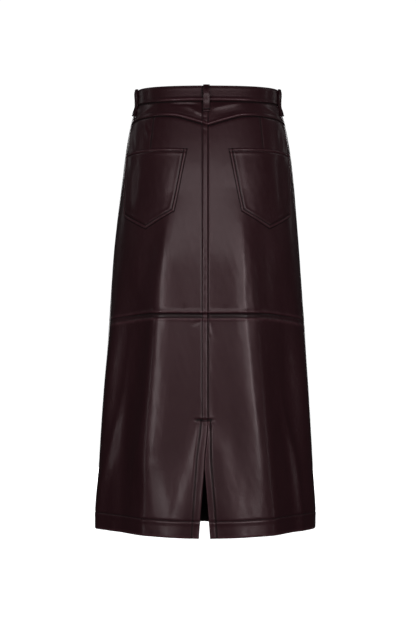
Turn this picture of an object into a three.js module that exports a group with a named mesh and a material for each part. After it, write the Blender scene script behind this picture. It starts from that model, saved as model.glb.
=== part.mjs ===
// A high-waisted leather midi skirt, filled out as it is when worn.
// Frame, in millimetres: +Z is up, +Y is the front and +X is the right-hand side as worn.
// The origin is the middle of the waist opening, at the waistband's top edge, and the hem is at z = -LENGTH.
// A place on the skirt is (side, along, z): side is -1 on the left as worn and +1 on the right, and along
// is the distance in millimetres round the skirt from the centre back, past the side seam, to the centre front.
import * as THREE from "three";
import { mergeVertices } from "three/addons/utils/BufferGeometryUtils.js";

// Lengths down the skirt
const LENGTH = 820;
const BAND_HEIGHT = 29;
const SLIT_TOP = -607;
const SLIT_OPENS = -694;
const HEM_TURN_UP = 31;
const ZIP_BOTTOM = -165;

// Layers of leather
const LEATHER = 1.5;
const BAND_THICKNESS = 2.5;
const LOOP_THICKNESS = 2.2;
const GAP = 0.3;

// Widths of narrow things
const BACK_STRIP = 11; // the topstitched allowance on the left of the centre back seam
const SLIT_FACING = 12.5;
const SLIT_HALF_GAP = 10; // at the hem
const SLIT_DRIFT = 6.3; // how far to the left of the centre back seam the slit's edges fall
const LAPPED_BAND = 7.5; // the sunk band under the seam round the middle
const PUFF = 6.5; // the rolled edge above the waistband seam and the yoke seam
const LAP = 8; // how far the left end of the waistband passes the centre front
const UNDERLAP = 30; // how far the right end passes it, underneath
const LOOP_WIDTH = 12;
const LOOP_BOTTOM = -50;
const LOOP_TOP = 1.2;
const ZIP_WIDTH = 26;
const ZIP_THICKNESS = 1.2;
const BUTTON_RADIUS = 8.5;

const SIDE_SEAM_ANGLE = THREE.MathUtils.degToRad(84); // from the centre back
const LEFT = -1;
const RIGHT = 1;

// The outline: half the width, how far back and front stand from the widest line between them, how far the
// sides have swung to the right as the skirt hangs, and how much squarer than an ellipse the outline is
const SECTIONS = [
  { z: 0, half: 132.5, back: 93.5, front: 86, swing: 0, square: 0.07 },
  { z: -29, half: 133, back: 98, front: 87, swing: 0, square: 0.07 },
  { z: -42, half: 137.5, back: 101.5, front: 90, swing: 0, square: 0.065 },
  { z: -55, half: 142, back: 105, front: 93, swing: 0, square: 0.06 },
  { z: -75, half: 146.8, back: 109, front: 96, swing: 0, square: 0.055 },
  { z: -110, half: 153, back: 115, front: 99, swing: -0.1, square: 0.05 },
  { z: -165, half: 160.2, back: 122, front: 102, swing: -0.5, square: 0.045 },
  { z: -220, half: 166, back: 126, front: 104, swing: -1.3, square: 0.04 },
  { z: -300, half: 173.2, back: 128, front: 106, swing: -2.2, square: 0.035 },
  { z: -400, half: 180.3, back: 131, front: 108, swing: -2.8, square: 0.03 },
  { z: -500, half: 186.6, back: 135, front: 110, swing: -3, square: 0.03 },
  { z: -600, half: 192.2, back: 139, front: 112, swing: -3.2, square: 0.025 },
  { z: -700, half: 196.6, back: 143, front: 114, swing: -3.6, square: 0.02 },
  { z: -790, half: 201, back: 146, front: 116, swing: -4, square: 0.02 },
  { z: -820, half: 200.5, back: 147, front: 116.5, swing: -4, square: 0.02 },
];

// The soft folds. A place is a share of the way from the centre back (0) to a side seam (1) and the centre
// front (2), minus on the left. Each fold runs from top to end, rises over fade, and is a ridge
// where its height is above 0 and a trough where it is below. near is its width towards the centre back.
const FOLDS = [
  { top: -200, topAt: -0.31, end: -860, endAt: -0.46, height: 7.5, near: 60, far: 24, fade: 130 },
  { top: -200, topAt: 0.28, end: -860, endAt: 0.47, height: 7.5, near: 60, far: 24, fade: 130 },
  { top: -280, topAt: -0.62, end: -860, endAt: -0.68, height: -9, near: 34, far: 34, fade: 240 },
  { top: -280, topAt: 0.62, end: -860, endAt: 0.7, height: -8, near: 34, far: 36, fade: 240 },
  { top: -300, topAt: -0.78, end: -860, endAt: -0.96, height: 7.5, near: 20, far: 26, fade: 220 },
  { top: -330, topAt: 0.8, end: -860, endAt: 0.96, height: 5.5, near: 26, far: 28, fade: 240 },
  { top: -590, topAt: -0.03, end: -860, endAt: -0.25, height: 3.2, near: 20, far: 24, fade: 80 },
  { top: -590, topAt: 0.03, end: -860, endAt: 0.23, height: 2.6, near: 20, far: 24, fade: 80 },
  { top: -230, topAt: -1.3, end: -860, endAt: -1.36, height: -6, near: 36, far: 36, fade: 260 },
  { top: -210, topAt: 1.33, end: -860, endAt: 1.38, height: -6.5, near: 38, far: 34, fade: 240 },
  { top: -180, topAt: -1.58, end: -860, endAt: -1.6, height: 7, near: 30, far: 52, fade: 220 },
  { top: -190, topAt: 1.61, end: -860, endAt: 1.63, height: 7, near: 28, far: 50, fade: 230 },
  { top: -360, topAt: 2, end: -860, endAt: 2, height: -5, near: 40, far: 40, fade: 260 },
];

// Seams that cross the skirt: how low each runs, by share of the way round
const YOKE_SEAM = [
  { at: 0, z: -75 },
  { at: 0.15, z: -66 },
  { at: 0.34, z: -57 },
  { at: 0.48, z: -55.5 },
  { at: 0.7, z: -58.5 },
  { at: 1, z: -67 },
];
const MIDDLE_SEAM = [
  { at: 0, z: -416.5 },
  { at: 0.4, z: -416 },
  { at: 0.7, z: -422 },
  { at: 1, z: -431 },
  { at: 1.5, z: -428 },
  { at: 2, z: -425 },
];
const HEM = [
  { at: 0, z: -LENGTH },
  { at: 0.15, z: -LENGTH + 1 },
  { at: 0.4, z: -LENGTH + 3 },
  { at: 0.8, z: -LENGTH + 4.6 },
  { at: 1, z: -LENGTH + 5 },
  { at: 2, z: -LENGTH + 1.5 },
];

// The patch pocket on the back, cut flat: heights are below its top edge, and inset is from the centre back
const POCKET = {
  top: -117,
  insetTop: 37,
  insetBottom: 60,
  widthTop: 141.5,
  widthBottom: 115.5,
  innerDrop: 115,
  outerDrop: 121,
  tipDrop: 146,
  tipShare: 0.49,
  arch: 2.5,
  welt: 7,
  lift: 0.7,
};

const LOOPS = [
  { name: "belt_loop_back", side: LEFT, at: 0.016, standoff: 4.2 },
  { name: "belt_loop_side_left", side: LEFT, at: 0.94, standoff: 6.2 },
  { name: "belt_loop_side_right", side: RIGHT, at: 0.94, standoff: 6.2 },
  { name: "belt_loop_front_left", side: LEFT, at: 1.62, standoff: 3.6 },
  { name: "belt_loop_front_right", side: RIGHT, at: 1.62, standoff: 3.6 },
];

const { lerp, clamp, smoothstep } = THREE.MathUtils;

// A smooth value of one column of a table, by the value of its key column, which rises or falls all the way.
function fromTable(table, key, column, value) {
  const rises = table[1][key] > table[0][key];
  const last = table.length - 1;
  let i = 0;
  while (i < last - 1 && (rises ? value > table[i + 1][key] : value < table[i + 1][key])) i += 1;
  const [a, b] = [table[i], table[i + 1]];
  const slope = (p, q) => (q[column] - p[column]) / (q[key] - p[key]);
  const here = slope(a, b);
  const into = i > 0 ? gentler(slope(table[i - 1], a), here) : here;
  const out = i < last - 1 ? gentler(here, slope(b, table[i + 2])) : here;
  const span = b[key] - a[key];
  const t = clamp((value - a[key]) / span, 0, 1);
  const [t2, t3] = [t * t, t * t * t];
  return (
    (2 * t3 - 3 * t2 + 1) * a[column] +
    (t3 - 2 * t2 + t) * span * into +
    (3 * t2 - 2 * t3) * b[column] +
    (t3 - t2) * span * out
  );
}

// The slope where two stretches of a table meet, which never overshoots either.
function gentler(before, after) {
  return before * after <= 0 ? 0 : (2 * before * after) / (before + after);
}

const sectionAt = (z) => ({
  half: fromTable(SECTIONS, "z", "half", z),
  back: fromTable(SECTIONS, "z", "back", z),
  front: fromTable(SECTIONS, "z", "front", z),
  swing: fromTable(SECTIONS, "z", "swing", z),
  square: fromTable(SECTIONS, "z", "square", z),
});

// Where a section's outline stands at an angle from the centre back, without its folds
function outlineAt({ half, back, front, swing, square }, side, angle) {
  const depth = angle < Math.PI / 2 ? back : front;
  const fuller = 1 + square * Math.sin(2 * angle) ** 2;
  const across = side * half * Math.sin(angle) * fuller + swing * Math.sin(angle) ** 2;
  return new THREE.Vector2(across, -depth * Math.cos(angle) * fuller);
}

// The outline between two angles from the centre back, as a running total of short chords.
const ARC_STEPS = 48;
function arcTable(section, from, to) {
  const even = { ...section, swing: 0 };
  const lengths = [0];
  const angles = [from];
  let total = 0;
  let last = outlineAt(even, RIGHT, from);
  for (let k = 1; k <= ARC_STEPS; k += 1) {
    const angle = lerp(from, to, k / ARC_STEPS);
    const next = outlineAt(even, RIGHT, angle);
    total += next.distanceTo(last);
    lengths.push(total);
    angles.push(angle);
    last = next;
  }
  return { lengths, angles, total };
}

// The arcs of the back and front at one height, kept because every column of a row asks for them.
const kept = new Map();
function arcsAt(z) {
  const key = Math.round(z * 100);
  if (!kept.has(key)) {
    const section = sectionAt(z);
    kept.set(key, {
      section,
      back: arcTable(section, 0, SIDE_SEAM_ANGLE),
      front: arcTable(section, SIDE_SEAM_ANGLE, Math.PI),
    });
  }
  return kept.get(key);
}

const backLength = (z) => arcsAt(z).back.total;
const roundLength = (z) => arcsAt(z).back.total + arcsAt(z).front.total;

function angleAlong(arc, distance) {
  let k = 1;
  while (k < ARC_STEPS && arc.lengths[k] < distance) k += 1;
  const share = (distance - arc.lengths[k - 1]) / (arc.lengths[k] - arc.lengths[k - 1]);
  return lerp(arc.angles[k - 1], arc.angles[k], share);
}

// The share of the way round, 0 to 2, that a distance from the centre back is, and the other way about
function shareOf(along, z) {
  const back = backLength(z);
  return along <= back ? along / back : 1 + (along - back) / (roundLength(z) - back);
}
function alongOf(share, z) {
  const back = backLength(z);
  return share <= 1 ? share * back : back + (share - 1) * (roundLength(z) - back);
}

// How far the folds push the leather out at a place.
function foldHeight(side, along, z) {
  const whole = 2 * roundLength(z);
  let height = 0;
  for (const fold of FOLDS) {
    const down = (fold.top - z) / (fold.top - fold.end);
    if (down <= 0) continue;
    const share = lerp(fold.topAt, fold.endAt, Math.min(down, 1));
    const centre = Math.sign(share) * alongOf(Math.abs(share), z);
    let off = side * along - centre;
    off -= whole * Math.round(off / whole);
    const width = off * Math.sign(share) > 0 ? fold.far : fold.near;
    height += fold.height * smoothstep(fold.top - z, 0, fold.fade) * Math.exp(-((off / width) ** 2));
  }
  return height;
}

// A point of the skirt's outer surface. Past the centre front or back it goes on round the other side.
function skin(side, along, z) {
  const { section, back, front } = arcsAt(z);
  const whole = back.total + front.total;
  const crossed = along < 0 || along > whole;
  const [onSide, distance] = crossed ? [-side, along < 0 ? -along : 2 * whole - along] : [side, along];
  const angle =
    distance <= back.total ? angleAlong(back, distance) : angleAlong(front, distance - back.total);
  const depth = angle < Math.PI / 2 ? section.back : section.front;
  const out = new THREE.Vector3(
    (onSide * Math.sin(angle)) / section.half,
    -Math.cos(angle) / depth,
    0,
  ).normalize();
  const foot = outlineAt(section, onSide, angle);
  return new THREE.Vector3(foot.x, foot.y, z).addScaledVector(out, foldHeight(onSide, distance, z));
}

// The outward direction of the surface at a place.
const PROBE = 1.5;
function outward(side, along, z) {
  const across = skin(side, along + PROBE, z).sub(skin(side, along - PROBE, z));
  const down = skin(side, along, z - PROBE).sub(skin(side, along, z + PROBE));
  return down.cross(across).multiplyScalar(side).normalize();
}

// A place on the skirt, moved out of its surface by lift.
const place = (side, along, z, lift) =>
  skin(side, along, z).addScaledVector(outward(side, along, z), lift);

// A closed solid from two matching grids of points, one for each face of a sheet.
// outer[j][i] and inner[j][i] run across with i and down with j.
function sheetGeometry(outer, inner) {
  const down = outer.length;
  const across = outer[0].length;
  const points = [...outer.flat(), ...inner.flat()];
  const at = (j, i) => j * across + i;
  const back = (j, i) => down * across + at(j, i);
  const faces = [];
  const quad = (a, b, c, d) => faces.push(a, b, c, a, c, d);
  for (let j = 0; j < down - 1; j += 1)
    for (let i = 0; i < across - 1; i += 1) {
      quad(at(j, i), at(j + 1, i), at(j + 1, i + 1), at(j, i + 1));
      quad(back(j, i), back(j, i + 1), back(j + 1, i + 1), back(j + 1, i));
    }
  for (let i = 0; i < across - 1; i += 1) {
    quad(at(0, i), at(0, i + 1), back(0, i + 1), back(0, i));
    quad(at(down - 1, i + 1), at(down - 1, i), back(down - 1, i), back(down - 1, i + 1));
  }
  for (let j = 0; j < down - 1; j += 1) {
    quad(at(j + 1, 0), at(j, 0), back(j, 0), back(j + 1, 0));
    quad(at(j, across - 1), at(j + 1, across - 1), back(j + 1, across - 1), back(j, across - 1));
  }
  const geometry = new THREE.BufferGeometry().setFromPoints(points).setIndex(faces);
  return outwardFacing(geometry);
}

// Turns a closed solid's faces round if they point in.
function outwardFacing(geometry) {
  const position = geometry.getAttribute("position");
  const index = geometry.index.array;
  const corner = (k) => new THREE.Vector3().fromBufferAttribute(position, index[k]);
  let volume = 0;
  for (let k = 0; k < index.length; k += 3) volume += corner(k).dot(corner(k + 1).cross(corner(k + 2)));
  if (volume < 0)
    for (let k = 0; k < index.length; k += 3) [index[k + 1], index[k + 2]] = [index[k + 2], index[k + 1]];
  geometry.computeVertexNormals();
  return geometry;
}

// Grid lines over a length: some at fixed distances from each end, and the others spread evenly between.
function gridLines(length, { first, last, between }) {
  const start = first.at(-1);
  const stop = length - last.at(-1);
  const shares = Array.from({ length: between }, (_, k) => (k + 1) / (between + 1));
  return [...first, ...shares.map((share) => lerp(start, stop, share)), ...last.map((gap) => length - gap).reverse()];
}

// A panel of leather between two edges across the skirt and two edges down it.
// spec.start and spec.stop give its ends along the skirt by height, spec.top and spec.bottom its heights by
// share, spec.columns and spec.rows its grid lines, and spec.lift and spec.thickness its relief and wall,
// by the distances in millimetres from its four edges.
const SETTLING_ROUNDS = 4;
function panelGrid(spec, columnIndex, rowIndex) {
  let z = (spec.top(0.5) + spec.bottom(0.5)) / 2;
  let along;
  let edges;
  for (let round = 0; round < SETTLING_ROUNDS; round += 1) {
    const [start, stop] = [spec.start(z), spec.stop(z)];
    const across = gridLines(stop - start, spec.columns)[columnIndex];
    along = start + across;
    const share = shareOf(clamp(along, 0, roundLength(z)), z);
    const [top, bottom] = [spec.top(share), spec.bottom(share)];
    const drop = gridLines(top - bottom, spec.rows)[rowIndex];
    z = top - drop;
    edges = { start: across, stop: stop - start - across, top: drop, bottom: top - bottom - drop, z, share };
  }
  return { along, z, edges };
}

function panelGeometry(spec) {
  const countOf = ({ first, last, between }) => first.length + last.length + between;
  const outer = [];
  const inner = [];
  for (let j = 0; j < countOf(spec.rows); j += 1) {
    outer.push([]);
    inner.push([]);
    for (let i = 0; i < countOf(spec.columns); i += 1) {
      const { along, z, edges } = panelGrid(spec, i, j);
      const lift = spec.lift(edges);
      const foot = skin(spec.side, along, z);
      const out = outward(spec.side, along, z);
      outer[j].push(foot.clone().addScaledVector(out, lift));
      inner[j].push(foot.clone().addScaledVector(out, -spec.thickness(edges)));
    }
  }
  return sheetGeometry(outer, inner);
}

// Half of a seam's gap, kept clear on each side of it.
const EDGE = GAP / 2;
const heightOf = (table) => (share) => fromTable(table, "at", "z", share);
const bandBottom = () => -BAND_HEIGHT;
const yokeSeam = heightOf(YOKE_SEAM);
const middleSeam = heightOf(MIDDLE_SEAM);
const hem = heightOf(HEM);

// How far each side of the slit stands from the centre back.
const slitEdge = (side, z) =>
  SLIT_HALF_GAP * clamp((SLIT_OPENS - z) / (SLIT_OPENS + LENGTH), 0, 1) -
  side * SLIT_DRIFT * smoothstep(SLIT_TOP - z, 0, SLIT_TOP - SLIT_OPENS);

// Relief: a rolled edge over a seam, the strip beside the centre back seam, and the sunk lapped band
const ROLL_HEIGHT = 1.1;
const STRIP_HEIGHT = 0.8;
const LAP_DEPTH = 0.9;
const rolledEdge = (fromSeam) => (fromSeam > 1 && fromSeam < PUFF - 1 ? ROLL_HEIGHT : 0);
const backStrip = (side, edges) => (side === LEFT && edges.start < BACK_STRIP + 0.1 ? STRIP_HEIGHT : 0);
const lappedBand = (fromSeam) => -LAP_DEPTH * clamp(1 - fromSeam / LAPPED_BAND, 0, 1);
const flyEdge = (side, edges) =>
  side === LEFT && edges.stop < LAP + 0.1 && edges.z > ZIP_BOTTOM ? STRIP_HEIGHT : 0;

const BACK_COLUMNS = { first: [EDGE, BACK_STRIP, BACK_STRIP + 1.2], last: [EDGE], between: 18 };
const FRONT_COLUMNS = { first: [EDGE], last: [EDGE, LAP, LAP + 1.2], between: 12 };

function yoke(side) {
  return panelGeometry({
    side,
    start: () => 0,
    stop: backLength,
    top: bandBottom,
    bottom: yokeSeam,
    columns: BACK_COLUMNS,
    rows: { first: [EDGE], last: [EDGE, PUFF / 2, PUFF], between: 1 },
    lift: (edges) => rolledEdge(edges.bottom) + backStrip(side, edges),
    thickness: () => LEATHER,
  });
}

function backUpper(side) {
  return panelGeometry({
    side,
    start: () => 0,
    stop: backLength,
    top: yokeSeam,
    bottom: middleSeam,
    columns: BACK_COLUMNS,
    rows: { first: [EDGE], last: [EDGE], between: 11 },
    lift: (edges) => backStrip(side, edges),
    thickness: () => LEATHER,
  });
}

function backLower(side) {
  const turnedUp = (edges) => edges.bottom < HEM_TURN_UP + 0.1;
  const faced = (edges) => edges.start < SLIT_FACING + 0.1 && edges.z < SLIT_TOP;
  return panelGeometry({
    side,
    start: (z) => slitEdge(side, z),
    stop: backLength,
    top: middleSeam,
    bottom: hem,
    columns: { first: [EDGE, BACK_STRIP, SLIT_FACING, SLIT_FACING + 1.2], last: [EDGE], between: 17 },
    rows: {
      first: [EDGE, LAPPED_BAND],
      last: [EDGE, HEM_TURN_UP, HEM_TURN_UP + 1.2],
      between: 10,
    },
    lift: (edges) => lappedBand(edges.top) + (edges.z > SLIT_TOP ? backStrip(side, edges) : 0),
    thickness: (edges) => (turnedUp(edges) || faced(edges) ? 2 : 1) * LEATHER,
  });
}

function frontUpper(side) {
  return panelGeometry({
    side,
    start: backLength,
    stop: roundLength,
    top: bandBottom,
    bottom: middleSeam,
    columns: FRONT_COLUMNS,
    rows: { first: [EDGE], last: [EDGE], between: 11 },
    lift: (edges) => flyEdge(side, edges),
    thickness: () => LEATHER,
  });
}

function frontLower(side) {
  return panelGeometry({
    side,
    start: backLength,
    stop: roundLength,
    top: middleSeam,
    bottom: hem,
    columns: FRONT_COLUMNS,
    rows: { first: [EDGE, LAPPED_BAND], last: [EDGE, HEM_TURN_UP, HEM_TURN_UP + 1.2], between: 9 },
    lift: (edges) => lappedBand(edges.top),
    thickness: (edges) => (edges.bottom < HEM_TURN_UP + 0.1 ? 2 : 1) * LEATHER,
  });
}

// Half of the waistband. The left half ends past the centre front, and the right half dips under it there.
const DIP_LENGTH = 9;
function waistband(side) {
  const reach = side === LEFT ? LAP : UNDERLAP;
  const dip = BAND_THICKNESS + GAP + 0.1;
  const dipStart = LAP + DIP_LENGTH; // from the centre front, on the right
  const pastCentre = (edges) => reach - edges.stop;
  const sunk = (edges) =>
    side === LEFT ? 0 : dip * clamp((pastCentre(edges) + dipStart) / DIP_LENGTH, 0, 1);
  return panelGeometry({
    side,
    start: () => 0,
    stop: (z) => roundLength(z) + reach,
    top: () => EDGE,
    bottom: bandBottom,
    columns: {
      first: [EDGE],
      last: side === LEFT ? [0, LAP] : [0, UNDERLAP + LAP - 1, UNDERLAP + dipStart],
      between: 26,
    },
    rows: { first: [EDGE], last: [EDGE, PUFF / 2, PUFF], between: 0 },
    lift: (edges) => rolledEdge(edges.bottom) * (1 - clamp(sunk(edges), 0, 1)) - sunk(edges),
    thickness: (edges) => BAND_THICKNESS + sunk(edges),
  });
}

// A patch pocket, made from points of the panel under it, moved out. Its foot is a shallow V.
function pocket(side) {
  const sides = [0, POCKET.welt / 2, POCKET.welt, POCKET.welt + 1.2];
  const foot = [0, POCKET.welt / 2, POCKET.welt, POCKET.welt + 1.2];
  const columns = { first: sides, last: sides, between: 7 };
  const rows = { first: [0, POCKET.welt], last: foot, between: 5 };
  const countOf = ({ first, last, between }) => first.length + last.length + between;
  const outer = [];
  const inner = [];
  for (let j = 0; j < countOf(rows); j += 1) {
    outer.push([]);
    inner.push([]);
    for (let i = 0; i < countOf(columns); i += 1) {
      const width = POCKET.widthTop;
      const across = gridLines(width, columns)[i] / width;
      const inwardOfTip = across < POCKET.tipShare;
      const drop = inwardOfTip
        ? lerp(POCKET.innerDrop, POCKET.tipDrop, across / POCKET.tipShare)
        : lerp(POCKET.outerDrop, POCKET.tipDrop, (1 - across) / (1 - POCKET.tipShare));
      const below = gridLines(drop, rows)[j];
      const down = below / drop;
      const inset = lerp(POCKET.insetTop, POCKET.insetBottom, down);
      const along = inset + across * lerp(POCKET.widthTop, POCKET.widthBottom, down);
      const z = POCKET.top + POCKET.arch * Math.sin(Math.PI * across) * (1 - down) - below;
      const fromEdge = Math.min(across * width, (1 - across) * width, drop - below);
      const raised = fromEdge > 1 && fromEdge < POCKET.welt - 1 ? POCKET.lift : 0;
      const foundation = skin(side, along, z);
      const out = outward(side, along, z);
      inner[j].push(foundation.clone().addScaledVector(out, 2 * GAP));
      outer[j].push(foundation.clone().addScaledVector(out, 2 * GAP + LEATHER + raised));
    }
  }
  return sheetGeometry(outer, inner);
}

// A belt loop: a strap tacked down at both ends, standing off the waistband and bridging the seam under it.
const LOOP_ROWS = 12;
function beltLoop(side, share, standoff) {
  const outer = [];
  const inner = [];
  const middle = alongOf(share, -BAND_HEIGHT);
  const out = outward(side, middle, -BAND_HEIGHT / 2);
  for (let j = 0; j <= LOOP_ROWS; j += 1) {
    const down = j / LOOP_ROWS;
    const off = standoff * smoothstep(down, 0, 0.2) * (1 - smoothstep(down, 0.3, 1));
    outer.push([]);
    inner.push([]);
    for (const across of [-LOOP_WIDTH / 2, 0, LOOP_WIDTH / 2]) {
      const top = place(side, middle + across, LOOP_TOP, 2 * GAP);
      const foot = place(side, middle + across, LOOP_BOTTOM, 2 * GAP + (share < 0.1 ? STRIP_HEIGHT : 0));
      const point = top.lerp(foot, down).addScaledVector(out, off);
      inner[j].push(point.clone());
      outer[j].push(point.addScaledVector(out, LOOP_THICKNESS));
    }
  }
  return sheetGeometry(outer, inner);
}

// The closed zip behind the fly: one strip over the join of the fronts, on the inside.
function flyZip() {
  return panelGeometry({
    side: LEFT,
    start: (z) => roundLength(z) - ZIP_WIDTH / 2,
    stop: (z) => roundLength(z) + ZIP_WIDTH / 2,
    top: () => -BAND_HEIGHT - 2,
    bottom: () => ZIP_BOTTOM,
    columns: { first: [0], last: [0], between: 3 },
    rows: { first: [0], last: [0], between: 4 },
    lift: () => -LEATHER - 2 * GAP,
    thickness: () => LEATHER + 2 * GAP + ZIP_THICKNESS,
  });
}

// The waist button: a domed cap with a rolled rim, turned about its own axis.
const BUTTON_PROFILE = [
  [0, 0],
  [BUTTON_RADIUS - 1.4, 0],
  [BUTTON_RADIUS - 0.3, 0.6],
  [BUTTON_RADIUS, 1.6],
  [BUTTON_RADIUS - 0.5, 2.5],
  [BUTTON_RADIUS - 1.6, 2.9],
  [BUTTON_RADIUS - 2.4, 2.5],
  [BUTTON_RADIUS - 4.5, 2.9],
  [0, 3.3],
];
const BUTTON_SIDES = 28;
function buttonGeometry() {
  const turned = new THREE.LatheGeometry(
    BUTTON_PROFILE.map(([radius, height]) => new THREE.Vector2(radius, height)),
    BUTTON_SIDES,
  );
  turned.deleteAttribute("normal");
  turned.deleteAttribute("uv");
  return outwardFacing(mergeVertices(turned, 1e-4));
}

const leather = (roughness) => new THREE.MeshStandardMaterial({ color: 0x3a2226, roughness, metalness: 0 });
const panelLeather = leather(0.42);
const trimLeather = leather(0.46);
const zipTape = new THREE.MeshStandardMaterial({ color: 0x1b1113, roughness: 0.85, metalness: 0 });
const buttonMetal = new THREE.MeshStandardMaterial({ color: 0x4b4546, roughness: 0.35, metalness: 1 });

const skirt = new THREE.Group();

function add(name, geometry, material) {
  const mesh = new THREE.Mesh(geometry, material);
  mesh.name = name;
  skirt.add(mesh);
  return mesh;
}

for (const [word, side] of [
  ["left", LEFT],
  ["right", RIGHT],
]) {
  add(`waistband_${word}`, waistband(side), trimLeather);
  add(`yoke_${word}`, yoke(side), panelLeather);
  add(`back_upper_${word}`, backUpper(side), panelLeather);
  add(`back_lower_${word}`, backLower(side), panelLeather);
  add(`front_upper_${word}`, frontUpper(side), panelLeather);
  add(`front_lower_${word}`, frontLower(side), panelLeather);
  add(`back_pocket_${word}`, pocket(side), trimLeather);
}
for (const { name, side, at, standoff } of LOOPS) add(name, beltLoop(side, at, standoff), trimLeather);
add("fly_zip", flyZip(), zipTape);

const button = add("waist_button", buttonGeometry(), buttonMetal);
const buttonAlong = roundLength(-BAND_HEIGHT / 2) - LAP; // on the left half, as far back from its end again
const buttonOut = outward(LEFT, buttonAlong, -BAND_HEIGHT / 2);
button.position.copy(place(LEFT, buttonAlong, -BAND_HEIGHT / 2, 2 * GAP));
button.quaternion.setFromUnitVectors(new THREE.Vector3(0, 1, 0), buttonOut);

export default skirt;
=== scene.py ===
import math

import bpy
import numpy as np
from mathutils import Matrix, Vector


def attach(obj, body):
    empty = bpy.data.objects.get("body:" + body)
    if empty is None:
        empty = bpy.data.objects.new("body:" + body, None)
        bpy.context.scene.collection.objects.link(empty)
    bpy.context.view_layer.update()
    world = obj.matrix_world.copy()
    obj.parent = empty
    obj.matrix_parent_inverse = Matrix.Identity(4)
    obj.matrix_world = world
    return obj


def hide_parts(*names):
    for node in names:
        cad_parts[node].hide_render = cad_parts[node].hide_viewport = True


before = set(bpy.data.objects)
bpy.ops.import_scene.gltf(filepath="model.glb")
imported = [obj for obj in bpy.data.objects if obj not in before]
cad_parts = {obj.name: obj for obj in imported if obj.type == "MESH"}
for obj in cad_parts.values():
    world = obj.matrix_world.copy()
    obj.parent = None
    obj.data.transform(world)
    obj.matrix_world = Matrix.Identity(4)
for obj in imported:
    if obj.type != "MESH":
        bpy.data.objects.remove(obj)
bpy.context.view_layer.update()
mm = 0.001
left, right = -1, 1


# numbers and colours

def smooth(value, low, high):
    t = np.clip((value - low) / (high - low), 0, 1)
    return t * t * (3 - 2 * t)


def bell(value, centre, width):
    return np.exp(-(((value - centre) / width) ** 2))


def bumps(distance, shape):
    # the sum of rounded bumps, each with a height, a place and a width
    return sum(height * bell(distance, at, width) for height, at, width in shape)


def curveThrough(keys, values):
    # a smooth curve through a table, which never overshoots its values
    keys, values = np.asarray(keys, float), np.asarray(values, float)
    slopes = np.diff(values) / np.diff(keys)
    before, after = slopes[:-1], slopes[1:]
    same = before * after > 0
    total = np.where(same, before + after, 1)
    middle = np.where(same, 2 * before * after / total, 0)
    tangents = np.concatenate([slopes[:1], middle, slopes[-1:]])

    def at(x):
        i = np.clip(np.searchsorted(keys, x) - 1, 0, len(keys) - 2)
        span = keys[i + 1] - keys[i]
        t = np.clip((x - keys[i]) / span, 0, 1)
        t2, t3 = t * t, t * t * t
        return (
            (2 * t3 - 3 * t2 + 1) * values[i]
            + (t3 - 2 * t2 + t) * span * tangents[i]
            + (3 * t2 - 2 * t3) * values[i + 1]
            + (t3 - t2) * span * tangents[i + 1]
        )

    return at


def hexColour(text):
    channels = [int(text[k : k + 2], 16) / 255 for k in (1, 3, 5)]
    linear = [c / 12.92 if c <= 0.04045 else ((c + 0.055) / 1.055) ** 2.4 for c in channels]
    return (*linear, 1.0)


def addNode(tree, kind, settings=None, inputs=None):
    # adds a node, sets its properties, and links or sets its inputs
    node = tree.nodes.new(kind)
    for name, value in (settings or {}).items():
        setattr(node, name, value)
    for name, value in (inputs or {}).items():
        if isinstance(value, bpy.types.NodeSocket):
            tree.links.new(value, node.inputs[name])
        else:
            node.inputs[name].default_value = value
    return node


# camera, seen from behind as in the photograph

view = {
    "distance": 3.3,  # metres from the middle of the skirt
    "height": -0.413,
    "lens": 101.54,
    "sensor": 36.0,
}
cameraData = bpy.data.cameras.new("camera")
cameraData.lens = view["lens"]
cameraData.sensor_width = view["sensor"]
cameraData.clip_end = 50
camera = bpy.data.objects.new("camera", cameraData)
camera.location = (0, -view["distance"], view["height"])
camera.rotation_euler = (math.radians(90), 0, 0)
bpy.context.scene.collection.objects.link(camera)
bpy.context.scene.camera = camera


# the skirt's surface, in millimetres; along is the way round from the centre back, to each side

skirt = {
    "length": 820,
    "bandHeight": 29,
    "slitTop": -607,
    "slitOpens": -694,
    "slitHalfGap": 10,
    "slitDrift": 6.3,
    "turnUp": 31,
    "lappedBand": 7.5,
    "leather": 1.35,
    "bandLeather": 2.4,
    "sideSeam": math.radians(84),
    "zipBottom": -165,
    "lap": 8,
    "underlap": 30,
}
# half of the width, depths behind and in front, how far the sides swing, and how square the section is
sections = {
    "z": [-820, -790, -700, -600, -500, -400, -300, -220, -165, -110, -75, -55, -42, -29, 0],
    "half": [200.5, 201, 196.6, 192.2, 186.6, 180.3, 173.2, 166, 160.2, 153, 146.8, 142, 137.5, 133, 132.5],
    "back": [147, 146, 143, 139, 135, 131, 128, 126, 122, 115, 109, 105, 101.5, 98, 93.5],
    "front": [116.5, 116, 114, 112, 110, 108, 106, 104, 102, 99, 96, 93, 90, 87, 86],
    "swing": [-4, -4, -3.6, -3.2, -3, -2.8, -2.2, -1.3, -0.5, -0.1, 0, 0, 0, 0, 0],
    "square": [
        0.02, 0.02, 0.02, 0.025, 0.03, 0.03, 0.035, 0.04, 0.045, 0.05, 0.055, 0.06, 0.065, 0.07, 0.07,
    ],
}
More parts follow.
